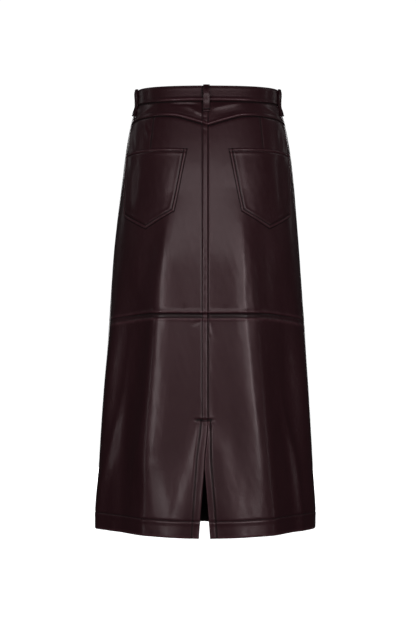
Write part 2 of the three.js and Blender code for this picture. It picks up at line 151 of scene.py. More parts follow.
# from and to are (height, share of the way from the centre back at 0 to a side seam at 1 and the centre
# front at 2, minus on the left)
folds = [
    {"from": (-200, -0.31), "to": (-860, -0.46), "height": 7.5, "near": 60, "far": 24, "fade": 130},
    {"from": (-200, 0.28), "to": (-860, 0.47), "height": 7.5, "near": 60, "far": 24, "fade": 130},
    {"from": (-280, -0.62), "to": (-860, -0.68), "height": -9, "near": 34, "far": 34, "fade": 240},
    {"from": (-280, 0.62), "to": (-860, 0.7), "height": -8, "near": 34, "far": 36, "fade": 240},
    {"from": (-300, -0.78), "to": (-860, -0.96), "height": 7.5, "near": 20, "far": 26, "fade": 220},
    {"from": (-330, 0.8), "to": (-860, 0.96), "height": 5.5, "near": 26, "far": 28, "fade": 240},
    {"from": (-590, -0.03), "to": (-860, -0.25), "height": 3.2, "near": 20, "far": 24, "fade": 80},
    {"from": (-590, 0.03), "to": (-860, 0.23), "height": 2.6, "near": 20, "far": 24, "fade": 80},
    {"from": (-230, -1.3), "to": (-860, -1.36), "height": -6, "near": 36, "far": 36, "fade": 260},
    {"from": (-210, 1.33), "to": (-860, 1.38), "height": -6.5, "near": 38, "far": 34, "fade": 240},
    {"from": (-180, -1.58), "to": (-860, -1.6), "height": 7, "near": 30, "far": 52, "fade": 220},
    {"from": (-190, 1.61), "to": (-860, 1.63), "height": 7, "near": 28, "far": 50, "fade": 230},
    {"from": (-360, 2), "to": (-860, 2), "height": -5, "near": 40, "far": 40, "fade": 260},
]
seams = {
    "yoke": curveThrough([0, 0.15, 0.34, 0.48, 0.7, 1], [-75, -66, -57, -55.5, -58.5, -67]),
    "middle": curveThrough([0, 0.4, 0.7, 1, 1.5, 2], [-416.5, -416, -422, -431, -428, -425]),
    "hem": curveThrough([0, 0.15, 0.4, 0.8, 1, 2], [-820, -819, -817, -815.4, -815, -818.5]),
}

profile = {name: curveThrough(sections["z"], sections[name]) for name in sections if name != "z"}


def outlineAt(section, side, angle):
    depth = np.where(angle < math.pi / 2, section["back"], section["front"])
    fuller = 1 + section["square"] * np.sin(2 * angle) ** 2
    x = side * section["half"] * np.sin(angle) * fuller + section["swing"] * np.sin(angle) ** 2
    return x, -depth * np.cos(angle) * fuller


# tables of arc lengths and angles at every millimetre of height
tables = {"lowest": -880, "highest": 20, "shares": 240, "angles": 49}
heights = np.arange(tables["lowest"], tables["highest"] + 1, 1.0)
shareSteps = tables["shares"]
sharesKept = np.linspace(0, 2, shareSteps + 1)
angleKept = np.zeros((len(heights), shareSteps + 1))
backKept = np.zeros(len(heights))
roundKept = np.zeros(len(heights))
for row, height in enumerate(heights):
    section = {name: profile[name](height) for name in profile}
    section["swing"] = 0
    parts = []
    for start, stop in ((0, skirt["sideSeam"]), (skirt["sideSeam"], math.pi)):
        angles = np.linspace(start, stop, tables["angles"])
        x, y = outlineAt(section, right, angles)
        parts.append((angles, np.concatenate([[0], np.cumsum(np.hypot(np.diff(x), np.diff(y)))])))
    (backAngles, backArc), (frontAngles, frontArc) = parts
    backKept[row], roundKept[row] = backArc[-1], backArc[-1] + frontArc[-1]
    onBack = sharesKept <= 1
    angleKept[row, onBack] = np.interp(sharesKept[onBack] * backArc[-1], backArc, backAngles)
    angleKept[row, ~onBack] = np.interp((sharesKept[~onBack] - 1) * frontArc[-1], frontArc, frontAngles)


def backLength(z):
    return np.interp(z, heights, backKept)


def roundLength(z):
    return np.interp(z, heights, roundKept)


def shareOf(along, z):
    back = backLength(z)
    return np.where(along <= back, along / back, 1 + (along - back) / (roundLength(z) - back))


def alongOf(share, z):
    back = backLength(z)
    return np.where(share <= 1, share * back, back + (share - 1) * (roundLength(z) - back))


def foldHeight(side, along, z):
    whole = 2 * roundLength(z)
    total = np.zeros(np.shape(z))
    for fold in folds:
        (top, topAt), (end, endAt) = fold["from"], fold["to"]
        share = topAt + (endAt - topAt) * np.clip((top - z) / (top - end), 0, 1)
        off = side * along - np.sign(topAt) * alongOf(np.abs(share), z)
        off = off - whole * np.round(off / whole)
        width = np.where(off * np.sign(topAt) > 0, fold["far"], fold["near"])
        total += fold["height"] * smooth(top - z, 0, fold["fade"]) * bell(off, 0, width)
    return total


def skin(side, along, z):
    # points of the surface: side and along say where round the skirt, z how high
    side, along, z = np.broadcast_arrays(*(np.asarray(value, float) for value in (side, along, z)))
    whole = roundLength(z)
    side = np.where((along < 0) | (along > whole), -side, side)
    along = np.where(along < 0, -along, np.where(along > whole, 2 * whole - along, along))
    share = np.clip(shareOf(along, z), 0, 2)
    row = np.clip(z - heights[0], 0, len(heights) - 1.001)
    column = np.clip(share / 2 * shareSteps, 0, shareSteps - 0.001)
    r, c = row.astype(int), column.astype(int)
    tr, tc = row - r, column - c
    angle = (
        angleKept[r, c] * (1 - tr) * (1 - tc)
        + angleKept[r + 1, c] * tr * (1 - tc)
        + angleKept[r, c + 1] * (1 - tr) * tc
        + angleKept[r + 1, c + 1] * tr * tc
    )
    section = {name: profile[name](z) for name in profile}
    depth = np.where(angle < math.pi / 2, section["back"], section["front"])
    nx, ny = side * np.sin(angle) / section["half"], -np.cos(angle) / depth  # the way out
    size = np.hypot(nx, ny)
    x, y = outlineAt(section, side, angle)
    out = foldHeight(side, along, z)
    return np.stack([x + nx / size * out, y + ny / size * out, z], -1)


def outward(side, along, z):
    probe = 1.5  # mm, wide enough to smooth over the tables' steps
    across = skin(side, along + probe, z) - skin(side, along - probe, z)
    down = skin(side, along, z - probe) - skin(side, along, z + probe)
    normal = np.cross(down, across) * np.asarray(side, float)[..., None]
    return normal / np.linalg.norm(normal, axis=-1, keepdims=True)


print("surface: tables ready")


# small unevenness of the leather, the same on both sides of every seam

uneven = {
    "seed": 41,
    "stretch": (0.7, 1.4),  # each wave is this much narrower or wider than its group says
    "atWaist": 0.35,  # share of the whole that is left where the leather is held taut
    "grows": (20, 220),  # from where to where down the skirt it grows to the whole
    "waves": [  # how many, how wide and how tall one wave is in mm, and its height
        {"count": 16, "wide": 95, "tall": 230, "height": 0.11},
        {"count": 22, "wide": 34, "tall": 80, "height": 0.025},
        {"count": 26, "wide": 13, "tall": 24, "height": 0.012},
    ],
}
draw = np.random.default_rng(uneven["seed"])
waves = []
for group in uneven["waves"]:
    for _ in range(group["count"]):
        turn = draw.uniform(0, 2 * math.pi)
        stretch = draw.uniform(*uneven["stretch"])
        wide = 2 * math.pi / (group["wide"] * stretch)
        tall = 2 * math.pi / (group["tall"] * stretch) * draw.uniform(-1, 1)
        phase = draw.uniform(0, 2 * math.pi)
        waves.append((wide * math.cos(turn), wide * math.sin(turn), tall, phase, group["height"]))

# short creases: from and to are (mm round from the centre back, minus on the left, and height)
creases = [
    {"from": (8, -42), "to": (60, -31), "height": 1.5, "width": 4.5},
    {"from": (-11, -50), "to": (-44, -37), "height": 1.0, "width": 4.5},
    {"from": (14, -55), "to": (66, -44), "height": -0.7, "width": 5},
    {"from": (-125, -70), "to": (-110, -96), "height": 1.0, "width": 2.6},
    {"from": (-119, -70), "to": (-104, -96), "height": -0.9, "width": 2.4},
    {"from": (-176, -74), "to": (-170, -116), "height": 1.3, "width": 6},
    {"from": (-160, -78), "to": (-150, -112), "height": -0.8, "width": 6},
    {"from": (170, -74), "to": (172, -116), "height": 1.5, "width": 6},
    {"from": (150, -78), "to": (146, -114), "height": -0.9, "width": 7},
    {"from": (-172, -150), "to": (-168, -215), "height": 1.2, "width": 8},
    {"from": (-140, -150), "to": (-146, -210), "height": -0.8, "width": 8},
    {"from": (168, -140), "to": (166, -215), "height": 1.4, "width": 8},
    {"from": (146, -140), "to": (150, -210), "height": -0.9, "width": 8},
    {"from": (-182, -9), "to": (-150, -6), "height": 0.7, "width": 2.0},
    {"from": (-180, -17), "to": (-140, -14), "height": -0.7, "width": 2.2},
    {"from": (-178, -24), "to": (-152, -21), "height": 0.7, "width": 2.0},
    {"from": (-178, -44), "to": (-146, -36), "height": 0.9, "width": 2.6},
    {"from": (-180, -54), "to": (-150, -45), "height": -0.9, "width": 2.4},
    {"from": (-178, -62), "to": (-140, -56), "height": 0.7, "width": 2.4},
    {"from": (182, -12), "to": (156, -9), "height": -0.7, "width": 2.2},
    {"from": (180, -42), "to": (150, -36), "height": 0.8, "width": 2.6},
    {"from": (180, -54), "to": (152, -46), "height": -0.8, "width": 2.4},
    {"from": (-22, -31), "to": (-74, -29), "height": 0.9, "width": 2.2},
    {"from": (-22, -35), "to": (-66, -34), "height": -1.2, "width": 1.8},
    {"from": (-11, -54), "to": (-24, -48), "height": 0.9, "width": 2.0},
    {"from": (-11, -60), "to": (-1, -60), "height": -0.8, "width": 1.5},
    {"from": (-11, -64), "to": (-1, -64), "height": 0.6, "width": 1.6},
    {"from": (-11, -68), "to": (-1, -68), "height": -0.8, "width": 1.5},
    {"from": (-11, -72), "to": (-1, -72), "height": 0.6, "width": 1.6},
    {"from": (-11, -84), "to": (-1, -84), "height": -0.5, "width": 1.8},
    {"from": (-110, -38), "to": (-150, -56), "height": 0.9, "width": 4},
    {"from": (112, -38), "to": (150, -54), "height": 0.9, "width": 4},
    {"from": (-9, -428), "to": (-28, -436), "height": -0.6, "width": 3},
    {"from": (3, -426), "to": (13, -462), "height": -0.7, "width": 3.5},
    {"from": (6, -612), "to": (1, -634), "height": -1.1, "width": 2.2},
    {"from": (-19, -612), "to": (-26, -640), "height": -0.5, "width": 3.5},
    {"from": (-13, -600), "to": (-16, -570), "height": -0.5, "width": 4},
    {"from": (8, -600), "to": (14, -566), "height": -0.5, "width": 4},
    {"from": (3, -455), "to": (1, -470), "height": -0.6, "width": 2.5},
    {"from": (30, -404), "to": (34, -413), "height": -0.4, "width": 4},
    {"from": (-40, -402), "to": (-44, -413), "height": -0.4, "width": 5},
]

# long creases where the leather bends down the skirt: place is mm round from the centre back, minus on the
# left, height is how proud each stands, and near and far are its widths towards the centre back and away
# from it, where it is crisp
ridges = [
    {  # the left edge of the bright middle
        "z": [-196, -230, -256, -319, -391, -465, -572, -644, -681, -753, -870],
        "place": [-62, -66, -70, -79, -88, -100, -109, -122, -135, -148, -162],
        "height": [0, 2.0, 2.9, 3.4, 3.6, 4.2, 4.4, 4.8, 3.8, 1.4, 0.2],
        "near": 46, "far": 17, "round": 4.5,
    },
    {  # and the right edge
        "z": [-190, -230, -256, -319, -391, -572, -681, -753, -870],
        "place": [62, 61, 61, 61, 63, 81, 96, 99, 106],
        "height": [0, 2.0, 2.8, 3.4, 3.6, 4.2, 2.4, 0.6, 0.2],
        "near": 44, "far": 16, "round": 4.5,
    },
    {  # the flare on the left of the slit
        "z": [-606, -640, -678, -720, -759, -800, -870],
        "place": [-9, -10, -12, -15, -20, -28, -40],
        "height": [0, 0.9, 2.0, 2.8, 3.2, 2.4, 1.2],
        "near": 12, "far": 20, "round": 5,
    },
    {  # and on its right
        "z": [-606, -643, -681, -720, -759, -800, -870],
        "place": [6, 7, 9, 13, 21, 30, 42],
        "height": [0, 0.4, 1.0, 1.5, 2.0, 1.4, 0.6],
        "near": 12, "far": 18, "round": 5,
    },
    {  # the hollow between the long crease and the slit on the left
        "z": [-590, -620, -684, -720, -759, -800, -870],
        "place": [-30, -32, -42, -50, -60, -68, -76],
        "height": [0, -0.9, -2.4, -2.0, -1.2, -0.8, -0.2],
        "near": 20, "far": 24, "round": 8,
    },
    {  # and on the right
        "z": [-600, -640, -684, -720, -759, -800, -870],
        "place": [28, 32, 40, 48, 60, 68, 76],
        "height": [0, -0.4, -0.6, -0.4, -0.2, 0, 0],
        "near": 20, "far": 30, "round": 8,
    },
    {  # the bend on the left from which the leather falls away into the corner
        "z": [-640, -690, -725, -759, -870],
        "place": [-60, -64, -66, -69, -80],
        "height": [0, 0.2, 0.9, 1.5, 1.0],
        "near": 13, "far": 26, "round": 7,
    },
    {  # the fold on the left fades out over the hem
        "z": [-620, -680, -720, -759, -870],
        "place": [-119, -124, -126, -128, -133],
        "height": [0, -0.3, -1.8, -3.4, -4.6],
        "near": 52, "far": 24, "round": 7,
    },
    {  # the same on the right
        "z": [-620, -680, -720, -759, -870],
        "place": [116, 121, 124, 128, 136],
        "height": [0, 0, -0.2, -0.8, -2.6],
        "near": 52, "far": 24, "round": 7,
    },
    {  # the leather stands a little beside the strip down the centre
        "z": [-320, -380, -470, -590, -606],
        "place": [-12, -12, -12, -12, -12],
        "height": [0, 0.7, 1.3, 1.1, 0],
        "near": 12, "far": 8, "round": 2.5,
    },
    {  # the diagonal fold that runs out to the left corner
        "z": [-420, -465, -570, -629, -686, -742, -870],
        "place": [-142, -154, -176, -193, -211, -232, -255],
        "height": [0, 1.0, 1.8, 2.6, 3.0, 2.2, 0.6],
        "near": 15, "far": 9, "round": 3,
    },
    {  # and the one on the right
        "z": [-500, -573, -629, -684, -758, -870],
        "place": [138, 148, 165, 184, 197, 214],
        "height": [0, 1.4, 2.8, 3.6, 3.4, 1.0],
        "near": 14, "far": 9, "round": 3,
    },
]


def ridgeHeight(place, z):
    total = np.zeros(np.shape(z))
    for ridge in ridges:
        middle = curveThrough(ridge["z"][::-1], ridge["place"][::-1])(z)
        height = curveThrough(ridge["z"][::-1], ridge["height"][::-1])(z)
        off = (place - middle) * np.sign(middle)
        rounding = ridge["round"]
        beyond = np.exp(-(np.sqrt(off**2 + rounding**2) - rounding) / ridge["far"])
        total += height * np.where(off > 0, beyond, bell(off, 0, ridge["near"]))
    return total


def unevenness(side, along, z, points):
    x, y = points[..., 0], points[..., 1]
    total = np.zeros(np.shape(z))
    for kx, ky, kz, phase, height in waves:
        total += height * np.sin(kx * x + ky * y + kz * z + phase)
    atWaist = uneven["atWaist"]
    total = total * (atWaist + (1 - atWaist) * smooth(-z, *uneven["grows"]))
    place = side * along
    total += ridgeHeight(place, z)
    for crease in creases:
        (x0, z0), (x1, z1) = crease["from"], crease["to"]
        length = math.hypot(x1 - x0, z1 - z0)
        t = ((place - x0) * (x1 - x0) + (z - z0) * (z1 - z0)) / length**2
        off = ((place - x0) * (z1 - z0) - (z - z0) * (x1 - x0)) / length
        end = smooth(t, -0.25, 0.25) * (1 - smooth(t, 0.7, 1.25))
        total += crease["height"] * end * bell(off, 0, crease["width"])
    return total


# meshes from grids of points

def gridLines(first, last, typical, spacing):
    # a grid line's distance is offset + scale * length, so each keeps its distance from an end or its share
    count = max(1, round((typical - first[-1] - last[-1]) / spacing) - 1)
    shares = (np.arange(count) + 1) / (count + 1)
    offset = np.concatenate([first, first[-1] * (1 - shares) - last[-1] * shares, -np.array(last[::-1])])
    scale = np.concatenate([np.zeros(len(first)), shares, np.ones(len(last))])
    return offset, scale


def sheetMesh(name, outer, inner, wearAndHighlight=None, grooveShade=None):
    # a closed sheet between two matching grids of points, given in millimetres
    down, across = outer.shape[:2]
    count = down * across
    at = np.arange(count).reshape(down, across)
    quads = [np.stack([at[:-1, :-1], at[1:, :-1], at[1:, 1:], at[:-1, 1:]], -1).reshape(-1, 4)]
    quads.append(np.stack([at[:-1, :-1], at[:-1, 1:], at[1:, 1:], at[1:, :-1]], -1).reshape(-1, 4) + count)
    outerFaces = len(quads[0])
    for edge, flip in ((at[0], 0), (at[-1], 1), (at[:, 0], 1), (at[:, -1], 0)):
        ring = np.stack([edge[:-1], edge[1:], edge[1:] + count, edge[:-1] + count], -1)
        quads.append(ring[:, ::-1] if flip else ring)
    faces = np.concatenate(quads)
    points = np.concatenate([outer.reshape(-1, 3), inner.reshape(-1, 3)])
    a, b, c, d = (points[faces[:, k]] for k in range(4))
    volume = np.sum(a * np.cross(b, c)) + np.sum(a * np.cross(c, d))
    if volume < 0:
        faces = faces[:, ::-1]
    mesh = bpy.data.meshes.new(name)
    mesh.vertices.add(len(points))
    mesh.vertices.foreach_set("co", (points * mm).ravel())
    mesh.loops.add(faces.size)
    mesh.loops.foreach_set("vertex_index", faces.ravel().astype(np.int32))
    mesh.polygons.add(len(faces))
    mesh.polygons.foreach_set("loop_start", np.arange(0, faces.size, 4, dtype=np.int32))
    mesh.polygons.foreach_set("use_smooth", np.ones(len(faces), dtype=bool))
    mesh.update(calc_edges=True)
    inside = np.zeros(len(faces), dtype=np.float32)
    inside[outerFaces : 2 * outerFaces] = 1
    mesh.attributes.new("inside", "FLOAT", "FACE").data.foreach_set("value", inside)
    for label, amount in (("wearAndHighlight", wearAndHighlight), ("grooveShade", grooveShade)):
        values = np.zeros(len(points), dtype=np.float32)
        if amount is not None:
            values[:count] = np.clip(amount, 0, 1).ravel()
        mesh.attributes.new(label, "FLOAT", "POINT").data.foreach_set("value", values)
    mesh.validate()
    return mesh


def addPiece(name, mesh, material, slot, *nodes):
    piece = bpy.data.objects.new(name, mesh)
    bpy.context.scene.collection.objects.link(piece)
    piece.data.materials.clear()
    piece.data.materials.append(material)
    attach(piece, "root")
    if nodes:
        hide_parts(*nodes)
    return piece


# materials

leatherLook = {
    # sizes in mm: the grain's pebbles and pores, and the slow changes of dye and gloss
    "pebble": 1.1,
    "pore": 0.35,
    "cloud": 55.0,
    "patch": 9.0,
    # colours over the dyed base: lighter at raised edges, where the coating is rubbed and a highlight is
    # painted, a painted shade in seams and grooves, and the uncoated inner side
    "rubbedAndHighlit": "#7d525a",
    "grooveShadeColour": "#140a0b",
    "backing": "#140a0c",
    "roughness": (0.33, 0.41),
    "grooveRoughness": 0.85,
    "backingRoughness": 0.9,
    # strength and depth in mm
    "lumps": (0.12, 0.6),
    "pebbles": (0.25, 0.12),
    "pores": (0.2, 0.05),
    "shader": {
        "IOR": 1.5,
        "Specular Tint": (1.0, 0.68, 0.72, 1.0),
        "Coat Weight": 0.26,
        "Coat Roughness": 0.2,
    },
}
threadLook = {"twist": 0.8, "shade": "#1b0c0f", "roughness": 0.6}
tapeLook = {"weave": 1.6, "shade": "#0e0809", "bump": (0.3, 0.1), "roughness": 0.85}
metalLook = {"patch": 4.0, "worn": "#8a8384", "smoother": 0.08, "rougher": 0.1}


def perMetre(size):
    return 1 / (size * mm)


def startMaterial(name):
    material = bpy.data.materials.new(name)
    material.use_nodes = True
    tree = material.node_tree
    place = addNode(tree, "ShaderNodeTexCoord").outputs["Object"]
    return material, tree, tree.nodes["Principled BSDF"], place


def coatedLeather(name, tint, shade):
    # polyurethane-coated leather, rolled with a fine pebble grain: a soft sheen over a dark dyed base
    material, tree, shader, place = startMaterial(name)
    noise = {}
    for size, detail in (("cloud", 3.0), ("patch", 4.0), ("pore", 2.0)):
        values = {"Vector": place, "Scale": perMetre(leatherLook[size]), "Detail": detail}
        noise[size] = addNode(tree, "ShaderNodeTexNoise", None, values).outputs["Fac"]
    pebble = addNode(
        tree, "ShaderNodeTexVoronoi", None, {"Vector": place, "Scale": perMetre(leatherLook["pebble"])}
    )
    wearAndHighlight, grooveShade, inside = (
        addNode(tree, "ShaderNodeAttribute", {"attribute_name": label}).outputs["Fac"]
        for label in ("wearAndHighlight", "grooveShade", "inside")
    )
    rubbedAndHighlit = addNode(tree, "ShaderNodeMath", {"operation": "MULTIPLY"}, {0: wearAndHighlight, 1: noise["patch"]})

    colour = hexColour(shade)
    # over the dyed base: a lighter colour where the coating is rubbed, with a painted highlight on raised
    # edges; a painted shade in the grooves; and the inner side
    for amount, other in (
        (noise["cloud"], tint),
        (rubbedAndHighlit.outputs[0], leatherLook["rubbedAndHighlit"]),
        (grooveShade, leatherLook["grooveShadeColour"]),
        (inside, leatherLook["backing"]),
    ):
        values = {0: amount, 6: colour, 7: hexColour(other)}
        colour = addNode(tree, "ShaderNodeMix", {"data_type": "RGBA"}, values).outputs[2]
    tree.links.new(colour, shader.inputs["Base Color"])

    low, high = leatherLook["roughness"]
    gloss = addNode(
        tree, "ShaderNodeMapRange", None,
        {"Value": noise["patch"], "From Min": 0.3, "From Max": 0.7, "To Min": low, "To Max": high},
    )
    roughness = gloss.outputs["Result"]
    # the grooves that carry the painted shade are also rougher
    for amount, other in ((grooveShade, "grooveRoughness"), (inside, "backingRoughness")):
        values = {0: amount, 2: roughness, 3: leatherLook[other]}
        roughness = addNode(tree, "ShaderNodeMix", None, values).outputs[0]
    tree.links.new(roughness, shader.inputs["Roughness"])

    values = {}
    for height, relief in (
        (noise["patch"], "lumps"), (pebble.outputs["Distance"], "pebbles"), (noise["pore"], "pores"),
    ):
        strength, depth = leatherLook[relief]
        values.update({"Strength": strength, "Distance": depth * mm, "Height": height})
        values["Normal"] = addNode(tree, "ShaderNodeBump", None, values).outputs["Normal"]
    tree.links.new(values["Normal"], shader.inputs["Normal"])

    for socket, value in leatherLook["shader"].items():
        shader.inputs[socket].default_value = value
    return material


def sewingThread(name, colour):
    # bonded polyester thread: a dull sheen on a twisted strand
    material, tree, shader, place = startMaterial(name)
    twist = addNode(
        tree, "ShaderNodeTexNoise", None, {"Vector": place, "Scale": perMetre(threadLook["twist"])}
    )
    shade = addNode(
        tree, "ShaderNodeMix", {"data_type": "RGBA"},
        {0: twist.outputs["Fac"], 6: hexColour(colour), 7: hexColour(threadLook["shade"])},
    )
    tree.links.new(shade.outputs[2], shader.inputs["Base Color"])
    shader.inputs["Roughness"].default_value = threadLook["roughness"]
    return material


def wovenTape(name, colour):
    # polyester zip tape: a matt woven ribbon with fine ribs
    material, tree, shader, place = startMaterial(name)
    weave = addNode(
        tree, "ShaderNodeTexWave", {"bands_direction": "Z"},
        {"Vector": place, "Scale": perMetre(tapeLook["weave"])},
    )
    shade = addNode(
        tree, "ShaderNodeMix", {"data_type": "RGBA"},
        {0: weave.outputs["Fac"], 6: hexColour(colour), 7: hexColour(tapeLook["shade"])},
    )
    strength, depth = tapeLook["bump"]
    bump = addNode(
        tree, "ShaderNodeBump", None,
        {"Strength": strength, "Distance": depth * mm, "Height": weave.outputs["Fac"]},
    )
    tree.links.new(shade.outputs[2], shader.inputs["Base Color"])
    tree.links.new(bump.outputs["Normal"], shader.inputs["Normal"])
    shader.inputs["Roughness"].default_value = tapeLook["roughness"]
    return material


def platedMetal(name, colour, roughness):
    # zinc alloy with a dark nickel plate, worn a little brighter in patches
    material, tree, shader, place = startMaterial(name)
    patches = addNode(
        tree, "ShaderNodeTexNoise", None,
        {"Vector": place, "Scale": perMetre(metalLook["patch"]), "Detail": 5.0},
    ).outputs["Fac"]
    shade = addNode(
        tree, "ShaderNodeMix", {"data_type": "RGBA"},
        {0: patches, 6: hexColour(colour), 7: hexColour(metalLook["worn"])},
    )
    low, high = roughness - metalLook["smoother"], roughness + metalLook["rougher"]
    gloss = addNode(tree, "ShaderNodeMapRange", None, {"Value": patches, "To Min": low, "To Max": high})
    tree.links.new(shade.outputs[2], shader.inputs["Base Color"])
    tree.links.new(gloss.outputs["Result"], shader.inputs["Roughness"])
    shader.inputs["Metallic"].default_value = 1.0
    return material


panelLeather = coatedLeather("oxbloodCoatedLeather", "#3c1f25", "#32181d")
trimLeather = coatedLeather("oxbloodTrimLeather", "#3b1e24", "#31171c")
threadMaterial = sewingThread("oxbloodThread", "#1d0c10")
tapeMaterial = wovenTape("zipTape", "#1f1214")
nickel = platedMetal("darkNickel", "#4b4546", 0.34)
print("materials: ready")


# panels: grid lines lie close together where a seam has its relief

edgeGap = 0.06  # half of the gap between two pieces
seamLines = [edgeGap, 0.5, 1.0, 1.7, 2.6, 3.6, 4.8, 6.2, 8.2]
stripLines = [edgeGap, 0.5, 1.1, 2.0, 4.0, 6.5, 9.0, 10.0, 10.9, 11.8, 13.5]
stripStitchLine = 8  # the line in stripLines that carries the strip's and the facing's stitches
yokeTopLines = [edgeGap, 0.7, 1.5, 3.0, 5.0]
panelTopLines = [edgeGap, 0.7, 1.5, 2.6, 4.5]
bandLines = [edgeGap, 0.8, 1.8, 3.2, 4.6, 5.8, 6.9, 7.7, 8.8, 10.4, 12.5]
hemLines = [
    edgeGap, 0.5, 1.1, 2.0, 4.0, 7.5, 11.5, 15.5, 19.5, 23.5, 26.0, 28.0, 29.6, 30.4, 31.0, 31.8, 33.2, 36.0,
]
frontEdgeLines = [edgeGap, 0.5, 1.1, 2.0, 3.4, 5.5]
bandTopLines = [edgeGap, 0.4, 0.9, 1.6, 2.4, 3.2, 4.4]
bandStartLines = [edgeGap, 0.5, 1.1, 2.0, 3.4]
underlapLines = [edgeGap, 0.6, 1.4, 3, 10, 20, 30, 37, 38.5, 40, 42, 44, 45.5, 47, 49]

# rows of stitches: how far each lies from its edge, in mm
stitchRows = {"yoke": 7.2, "strip": 10.9, "bandTop": 2.4, "lapUpper": 1.8, "lapLower": 6.9, "hem": 31.0}
stitchRuns = []  # lists of (points, normals) for the sewing
barTacks = []

# seams in cross-section: each bump has a height, a distance from the edge and a width, in mm
seamShapes = {
    "plain": [(-1.3, 0, 1.0), (0.25, 3.8, 2.4)],
    "rolled": [(1.5, 3.8, 2.2)],
    "underRoll": [(-1.5, 0, 0.9)],
    "tucked": [(-1.5, 0, 1.8)],
    "strip": [(-1.3, 0, 0.8), (-0.9, 10.9, 0.9)],
    "besideStrip": [(-1.5, 0, 1.1)],
    "loopPucker": [(-0.75, 7.3, 0.9), (0.4, 10.5, 2.4)],
    "dart": [(-0.8, 0, 1.7)],
    "hem": [(-1.2, 0, 1.0), (-0.75, 31, 0.95), (0.55, 27.2, 2.4)],
    "slitTack": [(-1.5, 0, 1.5), (0.4, 4.4, 2.2), (0.4, -4.6, 2.2)],
    "flyLeft": [(-1.2, 0, 0.8)],
    "flyRight": [(-1.2, 0, 0.9), (0.2, 3.2, 2.0)],
    "bandTop": [(-1.0, 0, 0.9), (0.25, 4.0, 2.2)],
    "pocketEdge": [(-1.35, 0, 1.25), (0.9, 3.7, 1.7), (-1.05, 6.8, 1.05), (0.5, 9.6, 2.0)],
    "pocketTop": [(-0.9, 0, 1.0), (0.7, 3.1, 1.5), (-0.9, 6.0, 0.95), (0.4, 8.8, 2.0)],
    "loopEdge": [(0.3, 4.0, 2.0), (-0.9, 0, 0.5), (-0.45, 1.6, 0.7)],
    "loopEnd": [(-0.9, 0, 0.6), (-0.6, 4.5, 1.6)],
}
# where the coating is rubbed and a highlight is painted on the raised crests: each has an amount, a distance
# from the edge and a width
worn = {
    "rolled": [(0.6, 3.6, 1.8)],
    "centre": [(0.3, 1.4, 1.5)],
    "aboveLap": [(0.4, 4.0, 1.8)],
    "aboveFrontLap": [(0.6, 4.0, 2.0)],
    "belowLap": [(0.5, 10, 2.5)],
    "hem": [(0.8, 1.5, 1.6)],
    "slit": [(0.5, 1.2, 1.6)],
    "bandTop": [(0.5, 0.6, 1.0)],
    "pocketEdge": [(0.45, 3.6, 1.6)],
    "pocketTop": [(0.4, 2.4, 1.4)],
    "loopEdge": [(0.5, 0.8, 0.8)],
}
# the usual width and height of each piece, each with the spacing of its plain grid lines, in mm
gridSizes = {
    "waistband": {"across": (380, 3.4), "down": (29, 2.4)},
    "yoke": {"across": (204, 1.9), "down": (34, 1.6)},
    "back_upper": {"across": (215, 1.7), "down": (350, 3.6)},
    "back_lower": {"across": (235, 3.0), "down": (390, 1.9)},
    "front_upper": {"across": (200, 3.4), "down": (390, 4.4)},
    "front_lower": {"across": (205, 3.6), "down": (390, 4.6)},
    "back_pocket": {"across": (130, 2.8), "down": (130, 3.2)},
}
# how wide each allowance is that is turned in behind an edge
allowances = {
    "yoke": {"bottom": 9, "start": 11, "stop": 10},
    "back_upper": {"bottom": 9, "start": 11, "stop": 10, "top": 9},
    "back_lower": {"bottom": skirt["turnUp"], "stop": 10, "top": 9},
    "front_upper": {"bottom": 9, "start": 10, "top": 6},
    "front_lower": {"bottom": skirt["turnUp"], "start": 10, "stop": 10, "top": 9},
}
tuck = {"reach": 2.2, "width": 0.45}  # how far an edge reaches under its neighbour
doubled = {"extra": 1.0, "blend": 0.6, "most": 2.6}  # the wall where an allowance is turned in
grooveShading = {"most": 0.96, "from": 0.15, "to": 0.8}  # how dark the painted shade in a groove gets with its depth, in mm
feed = {"pitch": 17, "wander": 2.2, "slow": 43, "swell": 61}  # waves along a lapped seam, in mm
puffed = {"from": 58, "to": 104, "rest": 0.06}  # the seams across the back go flat there, mm from the centre
words = {left: "left", right: "right"}


def makePanel(kind, side, across, down, columns, rows, squeeze=None):
    # a grid between two edges across and two down; columns and rows are the close lines at both edges, and
    # squeeze widens or narrows the first columns at each height
    (start, stop), (top, bottom) = across, down
    squeezed = len(columns[0])
    columnOffset, columnScale = (a[None, :] for a in gridLines(*columns, *gridSizes[kind]["across"]))
    rowOffset, rowScale = (a[:, None] for a in gridLines(*rows, *gridSizes[kind]["down"]))
    z = np.zeros((rowOffset.size, columnOffset.size))
    z += (top(np.array(0.5)) + bottom(np.array(0.5))) / 2
    for _ in range(5):
        begin, end = start(z), stop(z)
        offset = np.broadcast_to(columnOffset, z.shape).copy()
        if squeeze is not None:
            offset[:, :squeezed] *= squeeze(z[:, :squeezed])
            firstFree = 1 - columnScale[:, squeezed:]
            moved = columnOffset[:, squeezed - 1] * (squeeze(z[:, squeezed:]) - 1)
            offset[:, squeezed:] += firstFree * moved * (columnScale[:, squeezed:] < 1)
        off = offset + columnScale * (end - begin)
        along = begin + off
        share = shareOf(np.clip(along, 0, roundLength(z)), z)
        high, low = top(share), bottom(share)
        drop = rowOffset + rowScale * (high - low)
        z = high - drop
    return {
        "side": side,
        "along": along,
        "z": z,
        "share": share,
        "start": off,
        "stop": end - begin - off,
        "top": drop,
        "bottom": high - low - drop,
        "tucked": 0,
        "under": 0,
    }


def paintedGrooveShade(relief):
    # painted shade: the colour is darkened in the grooves of seams and rows of stitches
    return grooveShading["most"] * smooth(-relief, grooveShading["from"], grooveShading["to"])


